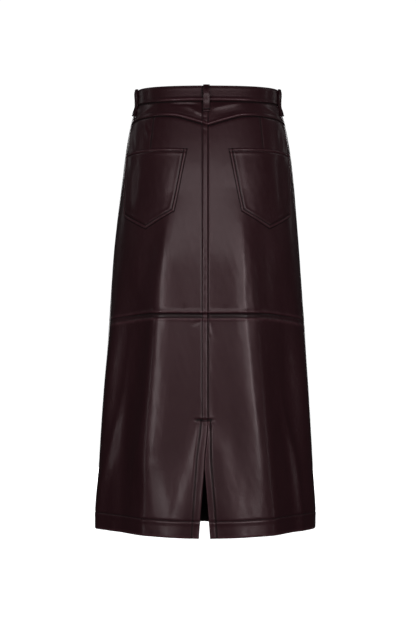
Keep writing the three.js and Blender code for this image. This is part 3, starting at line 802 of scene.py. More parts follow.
def dressPiece(kind, side, outer, inner, relief, wearAndHighlight, trim):
    # the finished cloth of one cut piece, in place of its solid
    word = words[side]
    mesh = sheetMesh(f"{kind}_piece_{word}", outer, inner, wearAndHighlight, paintedGrooveShade(relief))
    material, slot = (trimLeather, "leather_trim") if trim else (panelLeather, "leather_panels")
    piece = addPiece(f"{kind}_piece_{word}", mesh, material, slot, f"{kind}_{word}")


def finishPanel(kind, grid, relief, wall, wearAndHighlight, trim=False):
    side, along, z = grid["side"], grid["along"], grid["z"]
    wall = np.maximum(wall, 0.5 - relief)
    base = skin(side, along - grid["tucked"], z)
    base[..., 0] -= grid["under"]
    normal = outward(side, along, z)
    soft = unevenness(side, along, z, base)
    outer = base + normal * (soft + relief)[..., None]
    inner = base + normal * (soft - wall)[..., None]
    dressPiece(kind, side, outer, inner, relief, wearAndHighlight, trim)
    grid["outer"], grid["normal"] = outer, normal


def nearestColumn(grid, key, distance):
    # the line down the panel that is nearest to a distance from one edge
    return np.s_[:, int(np.argmin(np.abs(grid[key] - distance).mean(axis=0)))]


def nearestRow(grid, key, distance):
    return int(np.argmin(np.abs(grid[key] - distance).mean(axis=1)))


def sew(grid, line, shown=None):
    # a row of stitches along a grid line, where shown is true
    chosen = slice(None) if shown is None else shown[line]
    stitchRuns.append((grid["outer"][line][chosen], grid["normal"][line][chosen]))


def stitched(distance, at):
    # the groove that a row of stitches pulls
    return -0.7 * bell(distance, at, 0.8)


def roping(z):
    # the slow waves that the feed of a sewing machine leaves along a lapped seam
    wander = feed["wander"] * np.sin(z / feed["slow"])
    swell = 0.6 + 0.4 * np.sin(z / feed["swell"] + 1)
    return np.sin(2 * math.pi * z / feed["pitch"] + wander) * swell


def centreBack(side, distance, z):
    # the raised topstitched strip on the left of the seam, and the edge beside it on the right
    if side == left:
        raised = (1.0 + 0.16 * roping(z)) * smooth(distance, 0, 1.4) * (1 - smooth(distance, 8.9, 10.9))
        return raised + bumps(distance, seamShapes["strip"])
    puff = (0.3 + 0.12 * roping(z + 7)) * bell(distance, 3.6, 2.2)
    return puff + bumps(distance, seamShapes["besideStrip"])


def tuckedBy(distance):
    return tuck["reach"] * bell(distance, 0, tuck["width"])


def closeBack(grid, closed=1):
    # the right panels reach a little under the left ones at the centre back
    grid["under"] = (grid["side"] == right) * closed * tuckedBy(grid["start"])


def closeFront(grid):
    # the front panels reach a little under the back ones, and the right one under the left
    grid["tucked"] = tuckedBy(grid["start"])
    grid["under"] = (grid["side"] == right) * tuckedBy(grid["stop"])


def nearCentre(grid):
    # the seams across the back are puffed near the centre and flat towards the sides
    shown = 1 - smooth(grid["along"], puffed["from"], puffed["to"])
    return puffed["rest"] + (1 - puffed["rest"]) * shown


def rolledSeam(grid, closed=1):
    # the puffed edge above a seam, with its row of stitches
    bottom = grid["bottom"]
    relief = nearCentre(grid) * bumps(bottom, seamShapes["rolled"]) + stitched(bottom, stitchRows["yoke"])
    return relief + closed * bumps(bottom, seamShapes["underRoll"])


def besideLoop(grid):
    # the puckers that the tacked loop at the centre back makes on both sides of it
    off = np.abs(grid["side"] * grid["along"] + 2.9)
    shown = 1 - smooth(-grid["z"], 50, 56)
    return shown * bumps(off, seamShapes["loopPucker"])


# from the yoke's edge down: each dart's start and how far it leans outwards
dartSizes = {"top": -57, "fadesFrom": -108, "fadesTo": -126, left: (103.0, 0.12), right: (98.0, 0.11)}


def dart(side, along, z):
    # the seam that takes in the hip between the yoke and the pocket
    start, lean = dartSizes[side]
    off = along - start - (dartSizes["top"] - z) * lean
    return smooth(z, dartSizes["fadesTo"], dartSizes["fadesFrom"]) * bumps(off, seamShapes["dart"])


def towardsSide(share):
    # the seam round the middle lies flatter towards the side seams
    return 1 - 0.75 * bell(share, 1, 0.5)


def puffedSeam(grid):
    puff = (0.7 + 0.15 * roping(grid["along"])) * bell(grid["bottom"], 4.2, 2.6)
    return towardsSide(grid["share"]) * (puff - 1.2 * bell(grid["bottom"], 0, 1.1))


def lowerRelief(grid):
    # the sunk lapped band under the seam round the middle, between two rows of stitches
    band, top = skirt["lappedBand"], grid["top"]
    sunk = -0.58 * (1 - smooth(top, band - 1.6, band + 0.2))
    puff = (0.6 + 0.15 * roping(grid["along"])) * bell(top, band + 2.4, 2.2)
    edges = bumps(top, [(-0.6, 0, 1.5), (-0.3, band - 0.9, 0.9)])
    return towardsSide(grid["share"]) * (sunk + puff + edges)


def wallNear(grid, edges):
    # the allowances turned in along seams double the wall there
    wall = np.full(grid["z"].shape, skirt["leather"])
    for key, width in edges.items():
        blend = smooth(grid[key], width - doubled["blend"], width + doubled["blend"])
        wall += doubled["extra"] * (1 - blend)
    return np.minimum(wall, doubled["most"])


def level(z):
    return lambda share: np.full(np.shape(share), float(z))


def backCentre(z):
    return np.zeros(np.shape(z))


def buildYoke(side):
    grid = makePanel(
        "yoke", side, (backCentre, backLength), (level(-skirt["bandHeight"]), seams["yoke"]),
        (stripLines, seamLines), (yokeTopLines, seamLines),
    )
    closeBack(grid)
    relief = bumps(grid["top"], seamShapes["tucked"]) + rolledSeam(grid) + besideLoop(grid)
    relief += centreBack(side, grid["start"], grid["z"]) + bumps(grid["stop"], seamShapes["plain"])
    # the rubbed colour with its painted highlight on the rolled edge fades towards the sides, as the puff
    # does
    wearAndHighlight = nearCentre(grid) * bumps(grid["bottom"], worn["rolled"]) + bumps(grid["start"], worn["centre"])
    wall = wallNear(grid, allowances["yoke"])
    finishPanel("yoke", grid, relief, wall, wearAndHighlight)
    if side == left:
        sew(grid, nearestColumn(grid, "start", stitchRows["strip"]))
    sew(grid, nearestRow(grid, "bottom", stitchRows["yoke"]))


def buildBackUpper(side):
    grid = makePanel(
        "back_upper", side, (backCentre, backLength), (seams["yoke"], seams["middle"]),
        (stripLines, seamLines), (panelTopLines, seamLines),
    )
    closeBack(grid)
    relief = bumps(grid["top"], seamShapes["tucked"]) + centreBack(side, grid["start"], grid["z"])
    relief += bumps(grid["stop"], seamShapes["plain"]) + puffedSeam(grid)
    relief += dart(side, grid["along"], grid["z"])
    wearAndHighlight = bumps(grid["bottom"], worn["aboveLap"]) + bumps(grid["start"], worn["centre"])
    wall = wallNear(grid, allowances["back_upper"])
    finishPanel("back_upper", grid, relief, wall, wearAndHighlight)
    if side == left:
        sew(grid, nearestColumn(grid, "start", stitchRows["strip"]))


# how far the facing's stitches lie from the slit's edge, at each height
facing = {
    "z": [-820, -742, -700, -653, -625, -610, -600],
    left: [13.4, 14.6, 15.0, 14.0, 13.3, 12.6, 10.9],
    right: [12.2, 12.8, 12.8, 8.6, 5.6, 4.4, 4.2],
}
facingLine = {side: curveThrough(facing["z"], facing[side]) for side in (left, right)}
slit = {
    "blend": 3,  # mm over which the strip turns into the facings at the top of the slit
    "facing": 1.25,  # thickness of the facing behind the edge
    "stripEnds": 5,  # the strip's stitches stop this far above the slit
    "tackFrom": (-25, -19),  # the pull of the bar tack fades in and out between these, mm from the centre
    "tackTo": (6, 11),
}


def slitEdge(side):
    def at(z):
        opened = (skirt["slitOpens"] - z) / (skirt["slitOpens"] + skirt["length"])
        drift = smooth(skirt["slitTop"] - z, 0, skirt["slitTop"] - skirt["slitOpens"])
        return skirt["slitHalfGap"] * np.clip(opened, 0, 1) - side * skirt["slitDrift"] * drift

    return at


def sewAround(grid):
    # the lower panels' rows of stitches, under the middle seam and over the hem
    sew(grid, nearestRow(grid, "top", stitchRows["lapUpper"]))
    sew(grid, nearestRow(grid, "top", stitchRows["lapLower"]))
    sew(grid, nearestRow(grid, "bottom", stitchRows["hem"]))


def buildBackLower(side):
    grid = makePanel(
        "back_lower", side, (slitEdge(side), backLength), (seams["middle"], seams["hem"]),
        (stripLines, seamLines), (bandLines, hemLines),
        squeeze=lambda z: facingLine[side](z) / stitchRows["strip"],
    )
    start, z, place = grid["start"], grid["z"], side * grid["along"]
    inSlit = smooth(skirt["slitTop"] - z, -slit["blend"], slit["blend"])
    line = facingLine[side](z)
    faced = bumps(start, [(-1.1, 0, 0.8), (-1.7, line, 1.1), (0.4, line * 0.5, 4.0), (0.4, line + 3.2, 2.4)])
    relief = lowerRelief(grid) + bumps(grid["bottom"], seamShapes["hem"])
    relief += bumps(grid["stop"], seamShapes["plain"])
    relief += centreBack(side, start, z) * (1 - inSlit) + faced * inSlit
    # the bar tack above the slit pulls the leather in
    across = smooth(place, *slit["tackFrom"]) * (1 - smooth(place, *slit["tackTo"]))
    relief += across * bumps(z - skirt["slitTop"] - 0.5 * np.sin(place / 3.2), seamShapes["slitTack"])
    closeBack(grid, 1 - inSlit)
    wearAndHighlight = bumps(grid["bottom"], worn["hem"]) + bumps(grid["top"], worn["belowLap"])
    wearAndHighlight += inSlit * bumps(start, worn["slit"])
    wall = wallNear(grid, allowances["back_lower"])
    wall = np.maximum(wall, skirt["leather"] + slit["facing"] * (start < line + 1) * inSlit)
    finishPanel("back_lower", grid, relief, wall, wearAndHighlight)
    sewAround(grid)
    sew(grid, np.s_[:, stripStitchLine], z < skirt["slitTop"] - slit["blend"])
    if side == left:
        sew(grid, np.s_[:, stripStitchLine], z > skirt["slitTop"] + slit["stripEnds"])


def flyRelief(side, stop, z):
    # the fly's stitched edge stands on the left front, and curves in at its foot
    if side == right:
        return bumps(stop, seamShapes["flyRight"])
    shown = smooth(z, skirt["zipBottom"] - 4, skirt["zipBottom"] + 4)
    raised = shown * 0.7 * smooth(stop, 0, 1.2) * (1 - smooth(stop, 6.5, 8.2))
    return bumps(stop, seamShapes["flyLeft"]) + raised


def buildFrontUpper(side):
    grid = makePanel(
        "front_upper", side, (backLength, roundLength), (level(-skirt["bandHeight"]), seams["middle"]),
        (seamLines, stripLines), (panelTopLines, seamLines),
    )
    closeFront(grid)
    relief = bumps(grid["top"], seamShapes["tucked"]) + bumps(grid["start"], seamShapes["plain"])
    relief += flyRelief(side, grid["stop"], grid["z"]) + puffedSeam(grid)
    wearAndHighlight = bumps(grid["bottom"], worn["aboveFrontLap"])
    wall = wallNear(grid, allowances["front_upper"])
    finishPanel("front_upper", grid, relief, wall, wearAndHighlight)


def buildFrontLower(side):
    grid = makePanel(
        "front_lower", side, (backLength, roundLength), (seams["middle"], seams["hem"]),
        (seamLines, frontEdgeLines), (bandLines, hemLines),
    )
    closeFront(grid)
    relief = lowerRelief(grid) + bumps(grid["bottom"], seamShapes["hem"])
    relief += bumps(grid["start"], seamShapes["plain"]) + bumps(grid["stop"], seamShapes["plain"])
    wearAndHighlight = bumps(grid["bottom"], worn["hem"]) + bumps(grid["top"], worn["belowLap"])
    wall = wallNear(grid, allowances["front_lower"])
    finishPanel("front_lower", grid, relief, wall, wearAndHighlight)
    sewAround(grid)


lapping = {"dip": 2.9, "length": 9, "unsewn": 40}  # the right end of the waistband sinks under the left


def buildWaistband(side):
    reach, endLines = (skirt["lap"], seamLines) if side == left else (skirt["underlap"], underlapLines)
    grid = makePanel(
        "waistband", side,
        (backCentre, lambda z: roundLength(z) + reach), (level(0), level(-skirt["bandHeight"])),
        (bandStartLines, endLines), (bandTopLines, seamLines),
    )
    sunk = np.zeros(grid["z"].shape)
    if side == right:
        start = skirt["lap"] + lapping["length"]
        sunk = lapping["dip"] * smooth(reach - grid["stop"] + start, 0, lapping["length"])
    closeBack(grid)
    top = grid["top"]
    relief = bumps(top, seamShapes["bandTop"]) + rolledSeam(grid, 1 - np.clip(sunk, 0, 1))
    relief += bumps(grid["start"], seamShapes["plain"]) + bumps(grid["stop"], seamShapes["plain"])
    relief += stitched(top, stitchRows["bandTop"]) - sunk + besideLoop(grid)
    # the rubbed colour with its painted highlight on the rolled edge fades towards the sides, as the puff
    # does
    wearAndHighlight = nearCentre(grid) * bumps(grid["bottom"], worn["rolled"]) + bumps(top, worn["bandTop"])
    wall = skirt["bandLeather"] + sunk - 0.8 * bell(top, 0, 0.8)
    finishPanel("waistband", grid, relief, wall, wearAndHighlight, trim=True)
    sew(grid, nearestRow(grid, "top", stitchRows["bandTop"]))
    row = nearestRow(grid, "bottom", stitchRows["yoke"])
    sew(grid, row, grid["along"] < grid["along"].max() - (0 if side == left else lapping["unsewn"]))


pocketCut = {
    "top": -117, "insetTop": 37, "insetBottom": 60, "widthTop": 141.5, "widthBottom": 115.5,
    "innerDrop": 115, "outerDrop": 121, "tipDrop": 146, "tipShare": 0.49, "arch": 2.5, "sag": 5,
    "leather": 1.35,
    "footSlope": 0.9,  # distance from the slanted foot for each mm above it
    "rise": (7, 26, 0.5),  # from where to where the middle rises off the skirt, and how far
    "slack": (9.0, 0.7, 4, 30),  # how far down the mouth stands off, how far, and where from its ends
    "stand": 0.35,
    "stitchLines": (3, 8), "mouthLine": 6, "tackReach": 8,  # grid lines that carry the sewing
}
pocketLines = [0, 0.5, 1.1, 1.8, 2.8, 4.0, 5.4, 6.2, 6.8, 7.6, 9.0, 11.0]
pocketTopLines = [0, 0.5, 1.1, 2.0, 3.4, 5.0, 6.0, 7.0, 8.6]


def buildPocket(side):
    cut = pocketCut
    columnOffset, columnScale = gridLines(pocketLines, pocketLines, *gridSizes["back_pocket"]["across"])
    rowOffset, rowScale = gridLines(pocketTopLines, pocketLines, *gridSizes["back_pocket"]["down"])
    down = np.linspace(0, 1, len(rowOffset))[:, None] + np.zeros((1, len(columnOffset)))
    for _ in range(5):
        width = cut["widthTop"] + (cut["widthBottom"] - cut["widthTop"]) * down
        across = columnOffset[None, :] + columnScale[None, :] * width
        share = across / width
        toInner, toOuter = share / cut["tipShare"], (1 - share) / (1 - cut["tipShare"])
        drop = np.where(
            share < cut["tipShare"],
            cut["innerDrop"] + (cut["tipDrop"] - cut["innerDrop"]) * toInner,
            cut["outerDrop"] + (cut["tipDrop"] - cut["outerDrop"]) * toOuter,
        )
        below = rowOffset[:, None] + rowScale[:, None] * drop
        down = below / drop
    along = cut["insetTop"] + (cut["insetBottom"] - cut["insetTop"]) * down + across
    curve = cut["arch"] * np.sin(math.pi * share) - cut["sag"] * share**2
    z = cut["top"] + curve * (1 - down) - below

    toSide = np.minimum(across, width - across)
    edge = np.minimum(toSide, (drop - below) * cut["footSlope"])
    low, high, raised = cut["rise"]
    relief = bumps(edge, seamShapes["pocketEdge"]) + raised * smooth(edge, low, high)
    relief += bumps(below, seamShapes["pocketTop"])
    depth, slack, low, high = cut["slack"]
    stand = cut["stand"] + slack * bell(below, 0, depth) * smooth(toSide, low, high)
    base = skin(side, along, z)
    normal = outward(side, along, z)
    soft = unevenness(side, along, z, base) + stand
    outer = base + normal * (soft + cut["leather"] + relief)[..., None]
    inner = base + normal * soft[..., None]
    wearAndHighlight = bumps(edge, worn["pocketEdge"]) + bumps(below, worn["pocketTop"])
    dressPiece("back_pocket", side, outer, inner, relief, wearAndHighlight, trim=True)

    # two rows of stitches down, round the foot and up again, and one under the top edge
    lastRow, lastColumn = outer.shape[0] - 1, outer.shape[1] - 1
    for k in cut["stitchLines"]:
        far, foot = lastColumn - k, lastRow - k
        path = [(row, k) for row in range(1, foot)] + [(foot, column) for column in range(k, far)]
        path += [(row, far) for row in range(foot, 0, -1)]
        rows, columns = np.array(path).T
        stitchRuns.append((outer[rows, columns], normal[rows, columns]))
    mouth, reach = cut["mouthLine"], cut["tackReach"]
    stitchRuns.append((outer[mouth, reach:-reach], normal[mouth, reach:-reach]))
    for columns in (slice(1, reach + 1), slice(lastColumn - reach, lastColumn)):
        barTacks.append((outer[1, columns], normal[1, columns]))


print("panels: building")
for side in (left, right):
    buildWaistband(side)
    buildYoke(side)
    buildBackUpper(side)
    buildBackLower(side)
    buildFrontUpper(side)
    buildFrontLower(side)
    buildPocket(side)


# belt loops: a folded strap, tacked at both ends

strap = {
    "width": 12, "top": 1.2, "bottom": -50, "foot": 0.6, "flat": (0.0132, 0.0530),
    "stitchColumns": (3, 9), "tackRows": (5, -6),  # grid lines that carry the sewing
}
# meets: where down the strap it starts and ends to follow the skirt, and how closely it does in the end
openLoop = {"thickness": 2.8, "standoff": 3.6, "lift": 0.6, "meets": (0.3, 0.62, 0.9), "seated": False}
flatLoop = {"thickness": 4.5, "standoff": 0.5, "lift": 0.6, "meets": (0.05, 0.4, 1.0), "seated": True}
loops = [
    {**openLoop, "name": "back", "side": left, "share": 0.016, "standoff": 4.2, "lift": 1.4},
    {**flatLoop, "name": "side_left", "side": left, "share": 0.915},
    {**flatLoop, "name": "side_right", "side": right, "share": 0.915},
    {**openLoop, "name": "front_left", "side": left, "share": 1.62},
    {**openLoop, "name": "front_right", "side": right, "share": 1.62},
]


def buildLoop(loop):
    side = loop["side"]
    middle = float(alongOf(loop["share"], -skirt["bandHeight"]))
    halfWidth = strap["width"] / 2
    turn = outward(side, np.array(middle), np.array(-skirt["bandHeight"] / 2))
    across = np.array([-1, -0.96, -0.86, -0.74, -0.5, -0.2, 0, 0.2, 0.5, 0.74, 0.86, 0.96, 1]) * halfWidth
    down = np.concatenate([[0, 0.01, 0.025], np.linspace(0.05, 0.95, 34), [0.975, 0.99, 1]])

    def onSkirt(z, height):
        z = np.full(len(across), float(z))
        return skin(side, middle + across, z) + outward(side, middle + across, z) * height

    top, foot = onSkirt(strap["top"], strap["foot"]), onSkirt(strap["bottom"], loop["lift"])
    grid = np.zeros((len(down), len(across), 3))
    seat = np.zeros(grid.shape)
    begins, ends, closely = loop["meets"]
    for row, t in enumerate(down):
        off = loop["standoff"] * smooth(t, 0, 0.2) * (1 - smooth(t, 0.3, 0.85))
        z = strap["top"] * (1 - t) + strap["bottom"] * t
        laid = closely * float(smooth(t, begins, ends))
        grid[row] = (top * (1 - t) + foot * t) * (1 - laid) + onSkirt(z, loop["lift"]) * laid + turn * off
        seat[row] = onSkirt(z, 0) - turn * 0.2 if loop["seated"] else grid[row]
    toEdge = halfWidth - np.abs(across)[None, :]
    toEnd = np.minimum(down, 1 - down)[:, None] * (strap["top"] - strap["bottom"])
    relief = bumps(toEdge, seamShapes["loopEdge"]) + bumps(toEnd, seamShapes["loopEnd"])
    outer = grid + turn * (loop["thickness"] + relief)[..., None]
    inner = seat + turn * (0.5 * bell(toEdge, 0, 0.5))[..., None]
    wearAndHighlight = np.broadcast_to(bumps(toEdge, worn["loopEdge"]), relief.shape)
    name = f"belt_loop_{loop['name']}"
    mesh = sheetMesh(f"{name}_strap", outer, inner, wearAndHighlight, paintedGrooveShade(relief))
    piece = addPiece(f"{name}_strap", mesh, trimLeather, "leather_trim", name)
    normals = np.broadcast_to(turn, outer.shape)
    for column in strap["stitchColumns"]:
        stitchRuns.append((outer[3:-3, column], normals[3:-3, column]))
    for row in strap["tackRows"]:
        barTacks.append((outer[row, 2:-2], normals[row, 2:-2]))


for loop in loops:
    buildLoop(loop)
print("belt loops: done")


# the waist button, turned about its own axis

buttonShape = {
    "sides": 72,
    "lift": 0.6,
    "outline": [  # radius and height in mm
        (0, 0), (6.8, 0), (7.4, 0.1), (7.9, 0.35), (8.3, 0.8), (8.5, 1.5), (8.45, 2.1), (8.15, 2.6),
        (7.6, 2.85), (7.0, 2.85), (6.5, 2.6), (6.2, 2.25), (5.9, 2.15), (5.6, 2.25), (5.3, 2.45),
        (4.2, 2.75), (3.0, 3.0), (1.6, 3.2), (0, 3.3),
    ],
}


def buildButton():
    z = -skirt["bandHeight"] / 2
    along = np.array(float(roundLength(z)) - skirt["lap"])
    axis = Vector(outward(left, along, np.array(z)))
    start = Vector(skin(left, along, np.array(z))) + axis * buttonShape["lift"]
    across = axis.orthogonal().normalized()
    other = axis.cross(across)
    outline, sides = buttonShape["outline"], buttonShape["sides"]
    points = [start, start + axis * outline[-1][1]]
    for radius, height in outline[1:-1]:
        for k in range(sides):
            turn = 2 * math.pi * k / sides
            out = across * math.cos(turn) + other * math.sin(turn)
            points.append(start + axis * height + out * radius)

    def at(ring, k):
        return 2 + ring * sides + k % sides

    rings = len(outline) - 2
    faces = []
    for k in range(sides):
        faces.append((0, at(0, k + 1), at(0, k)))
        faces.append((1, at(rings - 1, k), at(rings - 1, k + 1)))
        for j in range(rings - 1):
            faces.append((at(j, k), at(j, k + 1), at(j + 1, k + 1), at(j + 1, k)))
    mesh = bpy.data.meshes.new("waist_button_cap")
    mesh.from_pydata([p * mm for p in points], [], faces)
    mesh.shade_smooth()
    addPiece("waist_button_cap", mesh, nickel, "button_metal", "waist_button")


buildButton()


# the zip, closed behind the fly

zipSize = {"width": 26, "top": -31, "bottom": -165, "length": 0.134, "tape": 0.9, "inside": 2.2}


def buildZip():
    # gives back the line of the teeth
    z = np.linspace(zipSize["top"], zipSize["bottom"], 60)[:, None] + np.zeros((1, 19))
    offsets = np.linspace(-1, 1, 19)[None, :] * zipSize["width"] / 2
    along = roundLength(z) + offsets
    base = skin(left, along, z)
    normal = outward(left, along, z)
    outer = base - normal * zipSize["inside"]
    inner = base - normal * (zipSize["inside"] + zipSize["tape"])
    mesh = sheetMesh("fly_zip_tape", outer, inner)
    piece = addPiece("fly_zip_tape", mesh, tapeMaterial, "zip_tape", "fly_zip")
    middle = outer.shape[1] // 2
    return inner[3:-3, middle], -normal[3:-3, middle]


zipPath = buildZip()
print("button and zip: done")


# what repeats along a line: stitches, bar tacks and zip teeth

# pitch, size along, across and off the surface, and how deep each sits, in mm
repeats = {
    "topstitching": {"pitch": 3.4, "size": (2.7, 0.52, 0.42), "sink": 0.06},
    "bar_tacks": {"pitch": 0.5, "size": (0.42, 2.2, 0.6), "sink": 0.15},
    "zip_teeth": {"pitch": 1.25, "size": (0.8, 4.2, 1.5), "sink": 0.6},
}
slitTack = {"from": -19.0, "to": 7.5, "z": -607.5, "rises": (-1.1, 1.1), "lift": -0.9}


def pathMesh(name, runs):
    # lines in metres, with the outward direction kept on every point
    points, normals, edges = [], [], []
    for run, up in runs:
        start = len(points)
        points.extend(run * mm)
        normals.extend(up)
        edges.extend((start + k, start + k + 1) for k in range(len(run) - 1))
    mesh = bpy.data.meshes.new(name)
    mesh.from_pydata([tuple(p) for p in points], edges, [])
    up = mesh.attributes.new("up", "FLOAT_VECTOR", "POINT")
    up.data.foreach_set("vector", np.array(normals, float).ravel())
    return mesh


def repeatTree(name, material, rings, segments):
    # rounded grains of one size, laid along every line
    tree = bpy.data.node_groups.new(name, "GeometryNodeTree")
    tree.interface.new_socket("Geometry", in_out="INPUT", socket_type="NodeSocketGeometry")
    tree.interface.new_socket("Geometry", in_out="OUTPUT", socket_type="NodeSocketGeometry")
    for socket, kind in (("Pitch", "Float"), ("Size", "Vector"), ("Sink", "Float")):
        tree.interface.new_socket(socket, in_out="INPUT", socket_type=f"NodeSocket{kind}")
    given = addNode(tree, "NodeGroupInput").outputs
    curve = addNode(tree, "GeometryNodeMeshToCurve", None, {"Mesh": given["Geometry"]})
    even = addNode(
        tree, "GeometryNodeResampleCurve", {"mode": "LENGTH"},
        {"Curve": curve.outputs["Curve"], "Length": given["Pitch"]},
    )
    up = addNode(tree, "GeometryNodeInputNamedAttribute", {"data_type": "FLOAT_VECTOR"}, {"Name": "up"})
    tangent = addNode(tree, "GeometryNodeInputTangent")
    turn = addNode(
        tree, "FunctionNodeAxesToRotation", {"primary_axis": "Z", "secondary_axis": "X"},
        {"Primary Axis": up.outputs["Attribute"], "Secondary Axis": tangent.outputs["Tangent"]},
    )
    ball = addNode(
        tree, "GeometryNodeMeshUVSphere", None, {"Segments": segments, "Rings": rings, "Radius": 0.5}
    )
    soft = addNode(tree, "GeometryNodeSetShadeSmooth", None, {"Geometry": ball.outputs["Mesh"]})
    sink = addNode(tree, "ShaderNodeCombineXYZ", None, {"Z": given["Sink"]})
    grain = addNode(
        tree, "GeometryNodeTransform", None,
        {"Geometry": soft.outputs["Geometry"], "Scale": given["Size"], "Translation": sink.outputs["Vector"]},
    )
    laid = addNode(
        tree, "GeometryNodeInstanceOnPoints", None,
        {
            "Points": even.outputs["Curve"],
            "Instance": grain.outputs["Geometry"],
            "Rotation": turn.outputs["Rotation"],
        },
    )
    real = addNode(tree, "GeometryNodeRealizeInstances", None, {"Geometry": laid.outputs["Instances"]})
    painted = addNode(
        tree, "GeometryNodeSetMaterial", None, {"Geometry": real.outputs["Geometry"], "Material": material}
    )
    addNode(tree, "NodeGroupOutput", None, {"Geometry": painted.outputs["Geometry"]})
    return tree


def layAlong(name, runs, tree, material, slot):
    host = bpy.data.objects.new(f"{name}_lines", pathMesh(f"{name}_lines", runs))
    bpy.context.scene.collection.objects.link(host)
    modifier = host.modifiers.new("repeat", "NODES")
    modifier.node_group = tree
    grain = repeats[name]
    size = tuple(length * mm for length in grain["size"])
    values = {"Pitch": grain["pitch"] * mm, "Size": size, "Sink": grain["sink"] * mm}
    for item in tree.interface.items_tree:
        if item.in_out == "INPUT" and item.name in values:
            modifier[item.identifier] = values[item.name]
    graph = bpy.context.evaluated_depsgraph_get()
    mesh = bpy.data.meshes.new_from_object(host.evaluated_get(graph))
    mesh.name = name
    bpy.data.objects.remove(host)
    addPiece(name, mesh, material, slot)
    print(name, len(mesh.polygons), "faces")


places = np.linspace(slitTack["from"], slitTack["to"], 24)
tackSides = np.where(places < 0, left, right)
for rise in slitTack["rises"]:
    tackHeights = np.full(places.shape, slitTack["z"] + rise)
    tackNormals = outward(tackSides, np.abs(places), tackHeights)
    tackPoints = skin(tackSides, np.abs(places), tackHeights) + tackNormals * slitTack["lift"]
    barTacks.append((tackPoints, tackNormals))

stitchTree = repeatTree("stitchesAlongLines", threadMaterial, 5, 6)
layAlong("topstitching", stitchRuns, stitchTree, threadMaterial, "leather_trim")
layAlong("bar_tacks", barTacks, stitchTree, threadMaterial, "leather_trim")
toothTree = repeatTree("teethAlongLine", nickel, 5, 8)
layAlong("zip_teeth", [zipPath], toothTree, nickel, "button_metal")


# floor and light

studio = {
    "floor": -1.02,
    "radius": 7.0,
    "cove": 2.0,
    "coveSteps": 12,
    "wallHeight": 9.0,
    "spokes": 48,
    "paint": "#ffffff",
    "world": 0.02,
}
# angle round the skirt from the camera in degrees, distance and height in metres, size, power in watts, and
# for some how far it is tipped down in degrees
lamps = {
    "frontHigh": {"angle": 0, "distance": 3.6, "height": 0.56, "size": (3.4, 1.0), "power": 22},
    "frontLow": {"angle": 0, "distance": 3.6, "height": -0.93, "size": (4.6, 0.16), "power": 2},
    "edgeLeft": {"angle": -31, "distance": 3.4, "height": -0.3, "size": (0.6, 1.3), "power": 10.5},
    "edgeRight": {"angle": 31, "distance": 3.4, "height": -0.3, "size": (0.6, 1.3), "power": 13},
    "fillRight": {"angle": 18, "distance": 3.5, "height": -0.2, "size": (0.8, 0.6), "power": 3.2},
    "foldLeft": {"angle": -60, "distance": 3.0, "height": -0.72, "size": (0.14, 1.0), "power": 1.7},
    "foldRight": {"angle": 66, "distance": 3.0, "height": -0.72, "size": (0.14, 1.0), "power": 0.9},
    "hipLeft": {"angle": -88, "distance": 3.0, "height": 0.5, "size": (0.2, 0.5), "power": 0.5},
    "hipRight": {"angle": 86, "distance": 3.0, "height": 0.5, "size": (0.2, 0.5), "power": 0.5},
    "rimLeft": {"angle": -125, "distance": 2.4, "height": 0.45, "size": (0.4, 0.9), "power": 0.5},
    "rimRight": {"angle": 125, "distance": 2.4, "height": 0.45, "size": (0.4, 0.9), "power": 0.5},
    "sideLeft": {"angle": -100, "distance": 2.6, "height": 1.6, "size": (1.2, 0.6), "power": 1.8, "down": 35},
    "sideRight": {"angle": 100, "distance": 2.6, "height": 1.6, "size": (1.2, 0.6), "power": 1.8, "down": 35},
    "awayHigh": {"angle": 180, "distance": 3.6, "height": 0.56, "size": (2.2, 1.0), "power": 22},
    "awayLow": {"angle": 180, "distance": 3.6, "height": -0.6, "size": (2.0, 0.8), "power": 16},
}


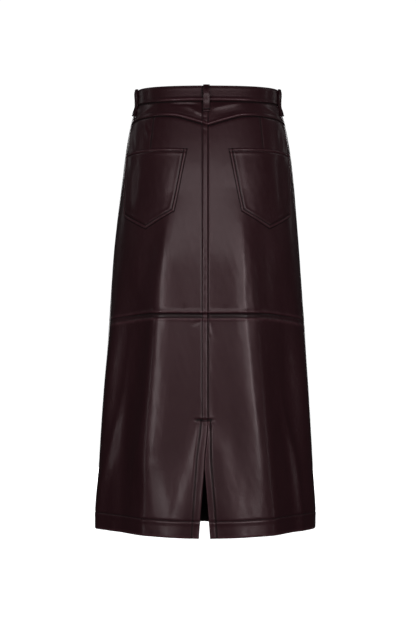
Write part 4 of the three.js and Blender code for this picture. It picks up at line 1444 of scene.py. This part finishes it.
def paintedWall():
    # matt white studio paint
    material = bpy.data.materials.new("whiteStudioPaint")
    material.use_nodes = True
    shader = material.node_tree.nodes["Principled BSDF"]
    shader.inputs["Base Color"].default_value = hexColour(studio["paint"])
    shader.inputs["Roughness"].default_value = 0.9
    shader.inputs["Emission Color"].default_value = hexColour(studio["paint"])
    shader.inputs["Emission Strength"].default_value = 1.0
    return material


def buildBackdrop():
    # a round pale floor that rises into a wall on all sides, so every view has the same ground
    radius, cove, spokes = studio["radius"], studio["cove"], studio["spokes"]
    outline = [(radius, 0.0)]
    for k in range(1, studio["coveSteps"] + 1):
        turn = math.pi / 2 * k / studio["coveSteps"]
        outline.append((radius + cove * math.sin(turn), cove * (1 - math.cos(turn))))
    outline.append((radius + cove, studio["wallHeight"]))
    points = [(0, 0, studio["floor"])]
    for out, height in outline:
        for k in range(spokes):
            turn = 2 * math.pi * k / spokes
            points.append((out * math.cos(turn), out * math.sin(turn), studio["floor"] + height))
    faces = [(0, 1 + k, 1 + (k + 1) % spokes) for k in range(spokes)]
    for ring in range(len(outline) - 1):
        low, high = 1 + ring * spokes, 1 + (ring + 1) * spokes
        for k in range(spokes):
            following = (k + 1) % spokes
            faces.append((low + k, high + k, high + following, low + following))
    mesh = bpy.data.meshes.new("backdrop")
    mesh.from_pydata(points, [], faces)
    mesh.shade_smooth()
    mesh.materials.append(paintedWall())
    wall = bpy.data.objects.new("backdrop", mesh)
    bpy.context.scene.collection.objects.link(wall)
    wall.visible_glossy = False
    wall.visible_diffuse = False


def hangLamps():
    for name, light in lamps.items():
        data = bpy.data.lights.new(name, "AREA")
        data.shape = "RECTANGLE"
        data.size, data.size_y = light["size"]
        data.energy = light["power"]
        lamp = bpy.data.objects.new(name, data)
        turn, distance = math.radians(light["angle"]), light["distance"]
        lamp.location = (distance * math.sin(turn), -distance * math.cos(turn), light["height"])
        lamp.rotation_euler = (math.radians(90 - light.get("down", 0)), 0, turn)
        bpy.context.scene.collection.objects.link(lamp)
    world = bpy.data.worlds.new("studio")
    bpy.context.scene.world = world
    world.use_nodes = True
    background = world.node_tree.nodes["Background"]
    background.inputs["Color"].default_value = (1, 1, 1, 1)
    background.inputs["Strength"].default_value = studio["world"]


buildBackdrop()
hangLamps()
bpy.context.scene.view_settings.view_transform = "Standard"
print("studio: ready")
